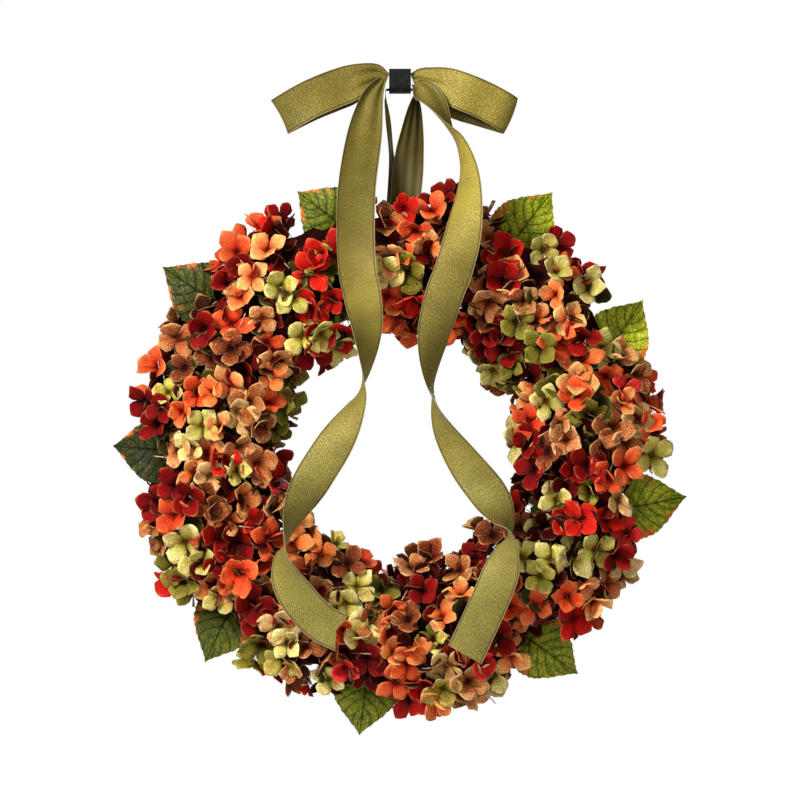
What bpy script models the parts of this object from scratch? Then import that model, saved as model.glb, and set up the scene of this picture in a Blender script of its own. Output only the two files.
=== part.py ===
"""Harvest door wreath: dried hydrangea heads wired on a grapevine ring, hung from a door hook by a ribbon.

Metres, +Z up. The door is the plane y = 0 and the wreath's face looks towards -Y. The origin is the
middle of the hook's back face. Angles round the ring start at the top and run clockwise from the front.
"""

import math

import bmesh
import bpy
from mathutils import Matrix, Vector

OBJECT_NAME = "harvest_door_wreath"
TOUCH_GAP = 0.0003

# Door hook: a strip bent to a J, seen from the front as its lip.
HOOK_WIDTH = 0.022
HOOK_HEIGHT = 0.025
HOOK_THICKNESS = 0.002
TROUGH_RADIUS = 0.006

# Vine ring.
HANG_LENGTH = 0.1785
RING_RADIUS = 0.1875
VINE_COUNT = 6
VINE_RADIUS = 0.0065
VINE_SLOT = 0.0045
VINE_TURNS = 3
RING_BACK_GAP = 0.0065
TIE_COUNT = 5
TIE_FIRST_DEG = -22.0
TIE_SPACING_DEG = 80.0
TIE_RADIUS = 0.0016
TIE_CLEARANCE = 0.0006

# Flower heads.
HEAD_COUNT = 9
HEAD_FIRST_DEG = 8.0
HEAD_RADIAL = 0.080
HEAD_ALONG = 0.094
HEAD_DEPTH = 0.064
HEAD_FORWARD = 0.013
HEAD_BACK_CUT = 0.011
HEAD_GAP = 0.0005
STEM_RADIUS = 0.0017
STEM_ROOT = 0.008

# Leaves: one in each valley between two heads, as (lean in degrees, overhang past the flowers).
LEAF_WIDTH = 0.062
LEAF_THICKNESS = 0.0012
LEAF_TIP_FORWARD = 0.002
LEAVES = ((3, 0.030), (-9, 0.017), (-8, 0.025), (-6, 0.023), (0, 0.026), (-6, 0.025), (2, 0.021), (-1, 0.031),
          (-10, 0.008))
PETIOLE_RADIUS = 0.0009
PETIOLE_ROOT = 0.009
PETIOLE_SHOW = 0.0054
PETIOLE_SIDE_DEG = 120.0

# Ribbon.
RIBBON_WIDTH = 0.038
RIBBON_THICKNESS = 0.001
BELT_WIDTH = 0.028
BELT_CLEARANCE = 0.0036
SLEEVE_CLEARANCE = 0.0044
SLOT_HALF_WIDTH = 0.034
STRAP_HALF_ANGLE = math.radians(55.0)
STRAP_OVERHANG = 0.0015
KNOT_END_INSET = 0.0005
KNOT_HALF_HEIGHT = 0.0080
KNOT_SIDE_ROOM = 0.0026
KNOT_LIFT = 0.0055
BOW_WIRE_RADIUS = 0.0006
BOW_SIDE_GAP = 0.002
TAIL_LIP_GAP = 0.0005
TAIL_CLEARANCE = 0.012
TAIL_FALL = 0.395

# Worked out from the sizes above.
TROUGH_CENTRE = Vector((0.0, -HOOK_THICKNESS - TROUGH_RADIUS,
                        -HOOK_HEIGHT / 2.0 + HOOK_THICKNESS + TROUGH_RADIUS))
LAY_ANGLE = math.radians(15.0)
VINE_CIRCLE = (2.0 * VINE_RADIUS + VINE_SLOT) / (2.0 * math.sin(math.pi / VINE_COUNT) * math.cos(LAY_ANGLE))
BUNDLE_RADIUS = VINE_CIRCLE + VINE_RADIUS
BUNDLE_Y = -(RING_BACK_GAP + BUNDLE_RADIUS)
RING_CENTRE_Z = -(HANG_LENGTH + RING_RADIUS)
CRADLE = Vector((0.0, BUNDLE_Y, -HANG_LENGTH))
BELT_RADIUS = BUNDLE_RADIUS + BELT_CLEARANCE + RIBBON_THICKNESS / 2.0
SLEEVE_RADIUS = BELT_RADIUS + RIBBON_THICKNESS / 2.0 + SLEEVE_CLEARANCE
HEAD_Y = BUNDLE_Y - HEAD_FORWARD
HEAD_FRONT_Y = HEAD_Y - HEAD_DEPTH
SECTOR = math.radians(360.0 / HEAD_COUNT)
HEAD_FIRST = math.radians(HEAD_FIRST_DEG)
PETIOLE_REACH = BUNDLE_RADIUS + PETIOLE_SHOW
KNOT_HALF_LENGTH = HOOK_WIDTH / 2.0 - KNOT_END_INSET
KNOT_HALF_DEPTH = TROUGH_RADIUS - KNOT_SIDE_ROOM
BOW_SIDE_X = KNOT_HALF_LENGTH + BOW_SIDE_GAP
TAIL_ROOT = Vector((BOW_SIDE_X, 2.0 * TROUGH_CENTRE.y - TAIL_LIP_GAP, 0.0))

# Bow loops, front layer from the knot to the end fold:
# (outward, height, share of the ribbon's width, slope in degrees below level, depth in front of the trough).
LEFT_LOOP = ((0.0000, 0.003, 0.26, -20, 0.0025), (0.012, 0.0055, 0.63, -8, 0.005),
             (0.033, -0.001, 0.95, 6, 0.012), (0.051, -0.007, 1.0, 14, 0.016),
             (0.074, -0.0165, 1.0, 22, 0.018), (0.092, -0.026, 1.0, 26, 0.015),
             (0.1075, -0.0355, 1.0, 27, 0.003))
RIGHT_LOOP = ((0.0000, 0.003, 0.26, -20, 0.0025), (0.009, 0.002, 0.58, -8, 0.005),
              (0.022, -0.001, 0.79, 2, 0.011), (0.035, -0.0045, 0.95, 12, 0.015),
              (0.051, -0.0105, 1.0, 20, 0.018), (0.069, -0.018, 1.0, 24, 0.018),
              (0.0875, -0.0275, 1.0, 25, 0.014), (0.0995, -0.0355, 1.0, 22, 0.003))
LOOP_BACK_DEPTH = -0.0015
LEFT_LOOP_SAG = 0.003
RIGHT_LOOP_SAG = 0.011

# Tails: (sideways, level, depth, share of width, twist in degrees). A level of 0 is the hook's middle, 1 the
# cradle where the ring hangs and 2 the tail's lowest point. A depth of 0 is the root, 1 lies on the flowers.
LEFT_TAIL = ((-0.005, -0.01, 0.00, 0.21, 0), (-0.015, 0.095, 0.11, 0.58, 0), (-0.023, 0.31, 0.30, 0.92, 0),
             (-0.031, 0.64, 0.74, 1.0, 4), (-0.031, 0.99, 1.01, 1.0, 6), (-0.0255, 1.09, 1.02, 1.0, 10),
             (-0.021, 1.19, 1.03, 1.0, 42), (-0.0245, 1.315, 1.03, 1.0, 90), (-0.0345, 1.385, 1.05, 1.0, 124),
             (-0.0555, 1.48, 1.05, 1.0, 168), (-0.0735, 1.555, 1.04, 1.0, 186),
             (-0.0925, 1.65, 1.05, 1.0, 236), (-0.1015, 1.725, 1.09, 1.0, 272),
             (-0.103, 1.76, 1.09, 1.0, 296), (-0.0975, 1.815, 1.06, 1.0, 330),
             (-0.0845, 1.87, 1.02, 1.0, 352), (-0.0665, 1.918, 1.00, 1.0, 360),
             (-0.045, 1.946, 1.00, 1.0, 360))
RIGHT_TAIL = ((0.003, 0.005, 0.00, 0.21, 0), (0.012, 0.055, 0.10, 0.66, 16), (0.023, 0.145, 0.25, 0.95, 56),
              (0.0335, 0.25, 0.35, 1.0, 82), (0.046, 0.365, 0.46, 1.0, 104), (0.0535, 0.53, 0.67, 1.0, 122),
              (0.0525, 0.755, 0.92, 1.0, 148), (0.0445, 0.99, 1.01, 1.0, 176), (0.032, 1.09, 1.02, 1.0, 186),
              (0.022, 1.19, 1.03, 1.0, 212), (0.0185, 1.285, 1.03, 1.0, 246), (0.0215, 1.355, 1.03, 1.0, 272),
              (0.0315, 1.43, 1.03, 1.0, 302), (0.0535, 1.52, 1.03, 1.0, 335), (0.0755, 1.595, 1.04, 1.0, 366),
              (0.0885, 1.655, 1.06, 1.0, 410), (0.0955, 1.695, 1.08, 1.0, 452),
              (0.0925, 1.745, 1.08, 1.0, 492), (0.0845, 1.815, 1.04, 1.0, 530), (0.0695, 1.905, 1.00, 1.0, 540),
              (0.052, 2.00, 1.00, 1.0, 540))

# Strands from the hook to the cradle: (sideways, level, depth, share of width, twist in degrees).
# A depth of 0 is the trough and 1 the face of the belt; a twist of 90 stands edge-on to the front.
FRONT_STRAND = ((0.0135, 0.15, 0.09, 0.53, 50), (0.011, 0.31, 0.25, 0.74, 31),
                (0.009, 0.42, 0.38, 0.82, 22), (0.0075, 0.55, 0.54, 0.82, 0),
                (0.004, 0.78, 0.82, 0.76, 0))
BACK_STRAND = ((-0.0015, 0.80, 0.40, 0.74, 14), (-0.004, 0.62, -0.80, 0.63, 55),
               (-0.0075, 0.42, -0.92, 0.58, 90), (-0.011, 0.22, -0.60, 0.42, 90))


def clear_scene():
    for old in list(bpy.data.objects):
        bpy.data.objects.remove(old)


def new_collection(name):
    collection = bpy.data.collections.new(name)
    bpy.context.scene.collection.children.link(collection)
    return collection


def make_material(name, colour, roughness, metallic=0.0):
    material = bpy.data.materials.new(name)
    material.use_nodes = True
    shader = material.node_tree.nodes["Principled BSDF"]
    shader.inputs["Base Color"].default_value = (*colour, 1.0)
    shader.inputs["Roughness"].default_value = roughness
    shader.inputs["Metallic"].default_value = metallic
    return material


def add_part(name, data, material, pivot):
    """Link a new part and hang it from its joint's empty, keeping its place in the world."""
    part = bpy.data.objects.new(name, data)
    data.materials.append(material)
    PARTS.objects.link(part)
    part.parent = pivot
    part.matrix_parent_inverse = Matrix.Translation(-PIVOT_PLACES[pivot.name])
    return part


def add_pivot(name, place, parent=None):
    pivot = bpy.data.objects.new(name, None)
    pivot.empty_display_size = 0.02
    PARTS.objects.link(pivot)
    PIVOT_PLACES[name] = Vector(place)
    pivot.location = PIVOT_PLACES[name]
    if parent:
        pivot.parent = parent
        pivot.location = PIVOT_PLACES[name] - PIVOT_PLACES[parent.name]
    return pivot


def mesh_from(bm, name, smooth_deg=35.0):
    mesh = bpy.data.meshes.new(name)
    bm.to_mesh(mesh)
    bm.free()
    mesh.shade_smooth()
    mesh.set_sharp_from_angle(angle=math.radians(smooth_deg))
    return mesh


def wire_curve(name, points, radius, cyclic=False):
    """A round wire through the points: a poly spline with a bevel and filled caps."""
    curve = bpy.data.curves.new(name, "CURVE")
    curve.dimensions = "3D"
    curve.bevel_depth = radius
    curve.bevel_resolution = 2
    curve.use_fill_caps = not cyclic
    spline = curve.splines.new("POLY")
    spline.points.add(len(points) - 1)
    for point, place in zip(spline.points, points):
        point.co = (*place, 1.0)
    spline.use_cyclic_u = cyclic
    return curve


def smooth_between(stations, steps):
    """Rows read from a smooth Catmull-Rom curve through the stations, `steps` to each gap."""
    rows = [Vector(station) for station in stations]
    padded = [2 * rows[0] - rows[1]] + rows + [2 * rows[-1] - rows[-2]]
    result = []
    for before, start, end, after in zip(padded, padded[1:], padded[2:], padded[3:]):
        for step in range(steps):
            t = step / steps
            result.append(0.5 * (2 * start + (end - before) * t
                                 + (2 * before - 5 * start + 4 * end - after) * t ** 2
                                 + (3 * start - before - 3 * end + after) * t ** 3))
    result.append(rows[-1])
    return result


def ribbon_object(name, sections, material, pivot, closed=False):
    """A ribbon: cross-sections of equal point counts joined into a strip and given its thickness."""
    bm = bmesh.new()
    rows = [[bm.verts.new(point) for point in section] for section in sections]
    next_rows = rows[1:] + (rows[:1] if closed else [])
    for row, following in zip(rows, next_rows):
        for left in range(len(row) - 1):
            bm.faces.new((row[left], row[left + 1], following[left + 1], following[left]))
    part = add_part(name, mesh_from(bm, name, 60.0), material, pivot)
    shell = part.modifiers.new("thickness", "SOLIDIFY")
    shell.thickness = RIBBON_THICKNESS
    shell.offset = 0.0
    shell.use_even_offset = True
    return part


def flat_section(centre, half, columns=2):
    return [centre + half * (2.0 * column / columns - 1.0) for column in range(columns + 1)]


def around(angle, radius, y):
    """A point on the ring's plane polar grid, moved to depth y."""
    return Vector((radius * math.sin(angle), y, RING_CENTRE_Z + radius * math.cos(angle)))


def bundle_point(angle, side, radius):
    """A point beside the vine bundle's centre line. Side 0 is its front and 90 degrees its outside."""
    outward = radius * math.sin(side)
    return around(angle, RING_RADIUS + outward, BUNDLE_Y - radius * math.cos(side))


def build_hook(pivot):
    bm = bmesh.new()
    middle = TROUGH_RADIUS + HOOK_THICKNESS / 2.0
    path = [Vector((0.0, TROUGH_CENTRE.y + middle, HOOK_HEIGHT / 2.0))]
    for step in range(13):
        turn = math.pi * step / 12.0
        path.append(TROUGH_CENTRE + middle * Vector((0.0, math.cos(turn), -math.sin(turn))))
    path.append(Vector((0.0, TROUGH_CENTRE.y - middle, HOOK_HEIGHT / 2.0)))
    half = Vector((HOOK_WIDTH / 2.0, 0.0, 0.0))
    rows = [(bm.verts.new(point - half), bm.verts.new(point + half)) for point in path]
    for row, following in zip(rows, rows[1:]):
        bm.faces.new((row[0], row[1], following[1], following[0]))
    hook = add_part("door_hook", mesh_from(bm, "door_hook"), BLACK_METAL, pivot)
    shell = hook.modifiers.new("strip", "SOLIDIFY")
    shell.thickness = HOOK_THICKNESS
    shell.offset = 0.0
    shell.use_even_offset = True
    edge = hook.modifiers.new("eased_edges", "BEVEL")
    edge.width = 0.0003
    edge.segments = 1
    edge.limit_method = "ANGLE"
    edge.angle_limit = math.radians(50.0)


def build_vines(pivot):
    """Strands laid round each other like rope; whole turns of lay bring each one back to its start."""
    points_round = 36
    for strand in range(VINE_COUNT):
        points = []
        for step in range(points_round):
            angle = HEAD_FIRST + 2.0 * math.pi * step / points_round
            side = math.pi * (2 * strand + 1) / VINE_COUNT + VINE_TURNS * (angle - HEAD_FIRST)
            points.append(bundle_point(angle, side, VINE_CIRCLE))
        name = f"grapevine_strand_{strand + 1}"
        add_part(name, wire_curve(name, points, VINE_RADIUS, cyclic=True), VINE_BROWN, pivot)


def build_ties(pivot):
    for tie in range(TIE_COUNT):
        angle = math.radians(TIE_FIRST_DEG + tie * TIE_SPACING_DEG)
        bpy.ops.mesh.primitive_torus_add(major_radius=BUNDLE_RADIUS + TIE_CLEARANCE + TIE_RADIUS,
                                         minor_radius=TIE_RADIUS, major_segments=24, minor_segments=6)
        ring = bpy.context.object
        ring.data.transform(Matrix.Translation(around(angle, RING_RADIUS, BUNDLE_Y))
                            @ Matrix.Rotation(angle + math.pi / 2.0, 4, "Y"))
        mesh = ring.data
        bpy.data.objects.remove(ring)
        mesh.name = f"vine_tie_{tie + 1}"
        mesh.shade_smooth()
        add_part(mesh.name, mesh, VINE_BROWN, pivot)


def make_sleeve_cutter():
    """The tunnel that the vines, their ties and the ribbon's belt keep clear through every head."""
    bpy.ops.mesh.primitive_torus_add(major_radius=RING_RADIUS, minor_radius=SLEEVE_RADIUS,
                                     major_segments=54, minor_segments=12)
    cutter = bpy.context.object
    cutter.name = "vine_tunnel_cutter"
    cutter.data.transform(Matrix.Translation((0.0, BUNDLE_Y, RING_CENTRE_Z))
                          @ Matrix.Rotation(HEAD_FIRST, 4, "Y") @ Matrix.Rotation(math.pi / 2.0, 4, "X"))
    return hide_cutter(cutter)


def make_slot_cutter():
    """The way the ribbon's two strands take down through the top head to the vines."""
    slot_height = HEAD_RADIAL * 1.5
    front_y = BUNDLE_Y - SLEEVE_RADIUS
    bpy.ops.mesh.primitive_cube_add(size=1.0)
    cutter = bpy.context.object
    cutter.name = "strand_slot_cutter"
    cutter.data.transform(Matrix.Translation((0.0, front_y / 2.0, -HANG_LENGTH + slot_height / 2.0))
                          @ Matrix.Diagonal((2.0 * SLOT_HALF_WIDTH, -front_y, slot_height, 1.0)))
    return hide_cutter(cutter)


def hide_cutter(cutter):
    for collection in list(cutter.users_collection):
        collection.objects.unlink(cutter)
    CUTTERS.objects.link(cutter)
    cutter.hide_render = True
    cutter.display_type = "WIRE"
    return cutter


def cut_plane(bm, place, normal):
    """Cut away what lies in front of the plane and close the cut face."""
    geometry = bm.verts[:] + bm.edges[:] + bm.faces[:]
    cut = bmesh.ops.bisect_plane(bm, geom=geometry, plane_co=place, plane_no=normal, clear_outer=True)
    rim = [item for item in cut["geom_cut"] if isinstance(item, bmesh.types.BMEdge)]
    if rim:
        bmesh.ops.contextual_create(bm, geom=rim)


def build_heads(pivot):
    sleeve = make_sleeve_cutter()
    slot = make_slot_cutter()
    for head in range(HEAD_COUNT):
        angle = HEAD_FIRST + head * SECTOR
        turned = Matrix.Rotation(angle, 4, "Y")
        bm = bmesh.new()
        size = Matrix.Diagonal((HEAD_ALONG, HEAD_DEPTH, HEAD_RADIAL, 1.0))
        bmesh.ops.create_uvsphere(bm, u_segments=16, v_segments=10, radius=1.0,
                                  matrix=Matrix.Translation(around(angle, RING_RADIUS, HEAD_Y)) @ turned @ size)
        cut_plane(bm, Vector((0.0, BUNDLE_Y + HEAD_BACK_CUT, 0.0)), Vector((0.0, 1.0, 0.0)))
        for side in (-1, 1):
            normal = turned @ Matrix.Rotation(side * SECTOR / 2.0, 4, "Y") @ Vector((side, 0.0, 0.0))
            cut_plane(bm, around(0.0, 0.0, 0.0) - HEAD_GAP * normal, normal)
        name = f"hydrangea_head_{head + 1}"
        part = add_part(name, mesh_from(bm, name, 45.0), FLOWER_RED, pivot)
        cutters = [sleeve]
        if math.cos(angle) > math.cos(SECTOR):
            cutters.append(slot)
        for cutter in cutters:
            cut = part.modifiers.new(cutter.name, "BOOLEAN")
            cut.operation = "DIFFERENCE"
            cut.object = cutter


def build_stems(pivot):
    """Each head's woody stem, pushed through the slot between two vines from the front."""
    tip = SLEEVE_RADIUS * math.cos(math.pi / 12.0) - 2.0 * TOUCH_GAP
    for head in range(HEAD_COUNT):
        angle = HEAD_FIRST + head * SECTOR
        points = [bundle_point(angle, 0.0, radius) for radius in (-STEM_ROOT, STEM_ROOT, tip)]
        name = f"hydrangea_stem_{head + 1}"
        add_part(name, wire_curve(name, points, STEM_RADIUS), STEM_GREEN, pivot)


def leaf_outline(name, length, width):
    """A pointed oval lying in its own XY plane, from its base at the origin to its tip along +Y."""
    curve = bpy.data.curves.new(name, "CURVE")
    curve.dimensions = "2D"
    curve.fill_mode = "BOTH"
    curve.extrude = LEAF_THICKNESS / 2.0
    curve.resolution_u = 4
    spline = curve.splines.new("BEZIER")
    spline.bezier_points.add(3)
    half = width / 2.0
    outline = (((-0.5 * half, 0.02 * length), (0.0, 0.0), (0.5 * half, 0.02 * length)),
               ((half, 0.20 * length), (half, 0.42 * length), (half, 0.64 * length)),
               ((0.14 * half, 0.90 * length), (0.0, length), (-0.14 * half, 0.90 * length)),
               ((-half, 0.64 * length), (-half, 0.42 * length), (-half, 0.20 * length)))
    for point, (before, place, after) in zip(spline.bezier_points, outline):
        point.handle_left_type = point.handle_right_type = "FREE"
        point.handle_left = (*before, 0.0)
        point.co = (*place, 0.0)
        point.handle_right = (*after, 0.0)
    spline.use_cyclic_u = True
    return curve


def build_leaves(pivot):
    """A leaf and its petiole in each valley; the petiole comes out of the slot at the vines' outer back."""
    side = math.radians(PETIOLE_SIDE_DEG)
    for number, (lean_deg, overhang) in enumerate(LEAVES, start=1):
        angle = HEAD_FIRST + (number - 0.5) * SECTOR
        root = bundle_point(angle, side, PETIOLE_ROOT)
        end = bundle_point(angle, side, PETIOLE_REACH)
        name = f"leaf_petiole_{number}"
        add_part(name, wire_curve(name, [root, end], PETIOLE_RADIUS), STEM_GREEN, pivot)

        base = end + (end - root).normalized() * (2.0 * TOUCH_GAP + LEAF_THICKNESS)
        tip = around(angle + math.radians(lean_deg), RING_RADIUS + HEAD_RADIAL + overhang, 0.0)
        tip.y = base.y - LEAF_TIP_FORWARD
        along = (tip - base).normalized()
        across = along.cross(Vector((0.0, -1.0, 0.0))).normalized()
        facing = across.cross(along)
        name = f"wreath_leaf_{number}"
        leaf = add_part(name, leaf_outline(name, (tip - base).length, LEAF_WIDTH), LEAF_GREEN, pivot)
        leaf.matrix_basis = Matrix.Translation(base) @ Matrix((across, along, facing)).transposed().to_4x4()


def build_knot(pivot):
    """The bow's gathered middle, a turned spool lying across the hook with a waist for its wire."""
    waist = 0.72
    profile = ((0.0, 1.0), (0.55, 1.0), (0.88, 0.8), (1.0, 0.5), (0.93, 0.25), (waist, 0.10), (waist, -0.10),
               (0.93, -0.25), (1.0, -0.5), (0.88, -0.8), (0.55, -1.0), (0.0, -1.0))
    bm = bmesh.new()
    verts = [bm.verts.new((KNOT_HALF_HEIGHT * radius, 0.0, KNOT_HALF_LENGTH * along))
             for radius, along in profile]
    for start, end in zip(verts, verts[1:]):
        bm.edges.new((start, end))
    mesh = bpy.data.meshes.new("bow_knot")
    bm.to_mesh(mesh)
    bm.free()
    knot = add_part("bow_knot", mesh, RIBBON_OLIVE, pivot)
    turn = knot.modifiers.new("turned", "SCREW")
    turn.steps = turn.render_steps = 16
    turn.use_merge_vertices = True
    turn.merge_threshold = 0.0001
    middle = TROUGH_CENTRE + Vector((0.0, 0.0, KNOT_LIFT))
    knot.matrix_basis = (Matrix.Translation(middle) @ Matrix.Rotation(math.pi / 2.0, 4, "Y")
                         @ Matrix.Diagonal((1.0, KNOT_HALF_DEPTH / KNOT_HALF_HEIGHT, 1.0, 1.0)))

    room = TOUCH_GAP * 2.0 + BOW_WIRE_RADIUS
    points = []
    for step in range(20):
        turn_angle = 2.0 * math.pi * step / 20.0
        points.append(middle + Vector((0.0, (waist * KNOT_HALF_DEPTH + room) * math.sin(turn_angle),
                                       (waist * KNOT_HALF_HEIGHT + room) * math.cos(turn_angle))))
    add_part("bow_wire", wire_curve("bow_wire", points, BOW_WIRE_RADIUS, cyclic=True), WIRE_GREEN, pivot)


def build_loop(name, hand, stations, sag, pivot):
    """A bow loop: a front layer out to the end fold and a back layer home, hanging a little lower."""
    last = len(stations) - 1
    path = []
    for out, rise, share, slope, depth in stations:
        path.append((out, depth, rise, share, slope))
    for place in range(last - 1, -1, -1):
        out, rise, share, slope, _ = stations[place]
        drop = sag * math.sin(math.pi * place / last)
        path.append((out, LOOP_BACK_DEPTH, rise - drop, share, slope))
    sections = []
    for out, depth, rise, share, slope in smooth_between(path, 2):
        centre = Vector((hand * (BOW_SIDE_X + out), TROUGH_CENTRE.y - depth, rise))
        tilt = math.radians(slope)
        half = share * RIBBON_WIDTH / 2.0
        sections.append(flat_section(centre, half * Vector((hand * math.sin(tilt), 0.0, math.cos(tilt)))))
    ribbon_object(name, sections, RIBBON_OLIVE, pivot)


def tail_place(hand, sideways, level, depth):
    fall = level * HANG_LENGTH if level < 1.0 else HANG_LENGTH + (level - 1.0) * TAIL_FALL
    rest_y = HEAD_FRONT_Y - TAIL_CLEARANCE
    return Vector((hand * TAIL_ROOT.x + sideways, TAIL_ROOT.y + depth * (rest_y - TAIL_ROOT.y), -fall))


def build_tail(name, hand, stations, pivot):
    """A ribbon tail that twists as it falls; its width stays square to the way it runs."""
    rows = smooth_between(stations, 2)
    centres = [tail_place(hand, sideways, level, depth) for sideways, level, depth, _, _ in rows]
    sections = []
    for place, centre in enumerate(centres):
        run = (centres[min(place + 1, len(centres) - 1)] - centres[max(place - 1, 0)]).normalized()
        across = run.cross(Vector((0.0, -1.0, 0.0))).normalized()
        outward = across.cross(run)
        half, twist = rows[place][3] * RIBBON_WIDTH / 2.0, math.radians(rows[place][4])
        sections.append(flat_section(centre, half * (math.cos(twist) * across + math.sin(twist) * outward)))
    ribbon_object(name, sections, RIBBON_OLIVE, pivot)


def trough_section(x, columns=4):
    radius = TROUGH_RADIUS - RIBBON_THICKNESS / 2.0 - TOUCH_GAP
    points = []
    for column in range(columns + 1):
        turn = STRAP_HALF_ANGLE * (2.0 * column / columns - 1.0)
        points.append(TROUGH_CENTRE + Vector((x, radius * math.sin(turn), -radius * math.cos(turn))))
    return points


def strand_sections(stations, face_y):
    sections = []
    for sideways, level, depth, share, twist in smooth_between(stations, 2):
        turn = math.radians(twist)
        half = share * RIBBON_WIDTH / 2.0
        centre = Vector((sideways, TROUGH_CENTRE.y + depth * (face_y - TROUGH_CENTRE.y), -level * HANG_LENGTH))
        sections.append(flat_section(centre, half * Vector((math.cos(turn), math.sin(turn), 0.0)), 4))
    return sections


def build_hanging_ribbon(pivot):
    """One loop: through the hook, down in front of the vines, under them and up behind."""
    side_x = HOOK_WIDTH / 2.0 + STRAP_OVERHANG
    hang_start = TROUGH_CENTRE + Vector((0.0, 0.0, -TROUGH_RADIUS - 0.0015))
    edge_on = Vector((0.0, (TROUGH_RADIUS - RIBBON_THICKNESS) * math.sin(STRAP_HALF_ANGLE), 0.0))
    sections = [trough_section(x) for x in (-side_x, -side_x / 2.0, side_x / 2.0, side_x)]
    sections.append(flat_section(hang_start + Vector((side_x + 0.0022, 0.0, 0.0)), edge_on, 4))
    sections += strand_sections(FRONT_STRAND, BUNDLE_Y - BELT_RADIUS)
    belt_half = Vector((BELT_WIDTH / 2.0, 0.0, 0.0))
    for step in range(9):
        side = math.pi * step / 8.0
        place = CRADLE + BELT_RADIUS * Vector((0.0, -math.cos(side), -math.sin(side)))
        sections.append(flat_section(place, belt_half, 4))
    sections += strand_sections(BACK_STRAND, BUNDLE_Y + BELT_RADIUS)
    sections.append(flat_section(hang_start - Vector((side_x + 0.0022, 0.0, 0.0)), edge_on, 4))
    ribbon_object("hanging_ribbon", sections, RIBBON_OLIVE, pivot, closed=True)


clear_scene()
PARTS = new_collection(OBJECT_NAME)
CUTTERS = new_collection(f"{OBJECT_NAME}_cutters")
PIVOT_PLACES = {}

BLACK_METAL = make_material("black_powder_coat", (0.012, 0.014, 0.014), 0.55, 0.2)
VINE_BROWN = make_material("grapevine_bark", (0.13, 0.07, 0.035), 0.85)
STEM_GREEN = make_material("dry_stem", (0.24, 0.17, 0.07), 0.75)
FLOWER_RED = make_material("dried_petals", (0.62, 0.09, 0.03), 0.8)
LEAF_GREEN = make_material("leaf_green", (0.09, 0.19, 0.03), 0.6)
RIBBON_OLIVE = make_material("olive_ribbon", (0.36, 0.27, 0.06), 0.5)
WIRE_GREEN = make_material("florist_wire", (0.05, 0.09, 0.05), 0.45, 0.6)


def main():
    base = add_pivot("hook_seat", (0.0, 0.0, 0.0))
    hanger = add_pivot("hanger_pivot", TROUGH_CENTRE, base)
    ring = add_pivot("ring_pivot", CRADLE, hanger)
    build_hook(base)
    build_hanging_ribbon(hanger)
    build_knot(hanger)
    for side, hand, loop, sag, tail in (("left", -1, LEFT_LOOP, LEFT_LOOP_SAG, LEFT_TAIL),
                                        ("right", 1, RIGHT_LOOP, RIGHT_LOOP_SAG, RIGHT_TAIL)):
        loop_pivot = add_pivot(f"{side}_loop_pivot", (hand * BOW_SIDE_X, TROUGH_CENTRE.y, 0.0), hanger)
        build_loop(f"{side}_bow_loop", hand, loop, sag, loop_pivot)
        tail_pivot = add_pivot(f"{side}_tail_pivot", (hand * TAIL_ROOT.x, TAIL_ROOT.y, TAIL_ROOT.z), hanger)
        build_tail(f"{side}_ribbon_tail", hand, tail, tail_pivot)
    build_vines(ring)
    build_ties(ring)
    build_heads(ring)
    build_stems(ring)
    build_leaves(ring)


main()
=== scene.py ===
"""Looks of a harvest door wreath: dried hydrangea heads on a grapevine ring, hung by an olive ribbon from a hook."""
import math
import random

import bpy
from bpy.props import FloatProperty, FloatVectorProperty, IntProperty, PointerProperty
from mathutils import Matrix, Vector, noise


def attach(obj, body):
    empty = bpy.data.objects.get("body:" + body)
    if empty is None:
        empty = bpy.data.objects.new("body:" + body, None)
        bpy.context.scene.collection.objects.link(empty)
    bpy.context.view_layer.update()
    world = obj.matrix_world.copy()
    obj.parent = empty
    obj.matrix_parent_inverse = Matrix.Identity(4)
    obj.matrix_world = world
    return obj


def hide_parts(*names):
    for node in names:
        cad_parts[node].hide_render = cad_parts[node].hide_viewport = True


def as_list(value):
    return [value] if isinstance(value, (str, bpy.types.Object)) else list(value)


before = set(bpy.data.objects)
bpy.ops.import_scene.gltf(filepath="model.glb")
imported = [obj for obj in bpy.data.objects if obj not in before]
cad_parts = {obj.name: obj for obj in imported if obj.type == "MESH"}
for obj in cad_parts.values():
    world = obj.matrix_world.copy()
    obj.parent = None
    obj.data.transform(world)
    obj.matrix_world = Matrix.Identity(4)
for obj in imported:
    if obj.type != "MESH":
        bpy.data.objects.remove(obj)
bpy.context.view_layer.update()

bl_info = {
    "name": "Harvest door wreath",
    "version": (1, 0, 0),
    "blender": (4, 5, 0),
    "location": "3D View > Sidebar > Wreath",
    "description": "Builds the visible pieces of a hydrangea door wreath on its packed frame",
    "category": "Object",
}

# Hook and hanging
HOOK_WIDTH = 0.022
HOOK_THICKNESS = 0.002
TROUGH_RADIUS = 0.006
TROUGH_CENTRE = Vector((0.0, -HOOK_THICKNESS - TROUGH_RADIUS, -0.0045))
HANG_LENGTH = 0.1785
# Vine ring
RING_RADIUS = 0.1875
RING_CENTRE_Z = -(HANG_LENGTH + RING_RADIUS)
VINE_COUNT = 6
VINE_RADIUS = 0.0065
VINE_TURNS = 3
VINE_CIRCLE = (2 * VINE_RADIUS + 0.0045) / (2 * math.sin(math.pi / VINE_COUNT) * math.cos(math.radians(15)))
BUNDLE_RADIUS = VINE_CIRCLE + VINE_RADIUS
BUNDLE_Y = -(0.0065 + BUNDLE_RADIUS)
CRADLE = Vector((0.0, BUNDLE_Y, -HANG_LENGTH))
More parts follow.
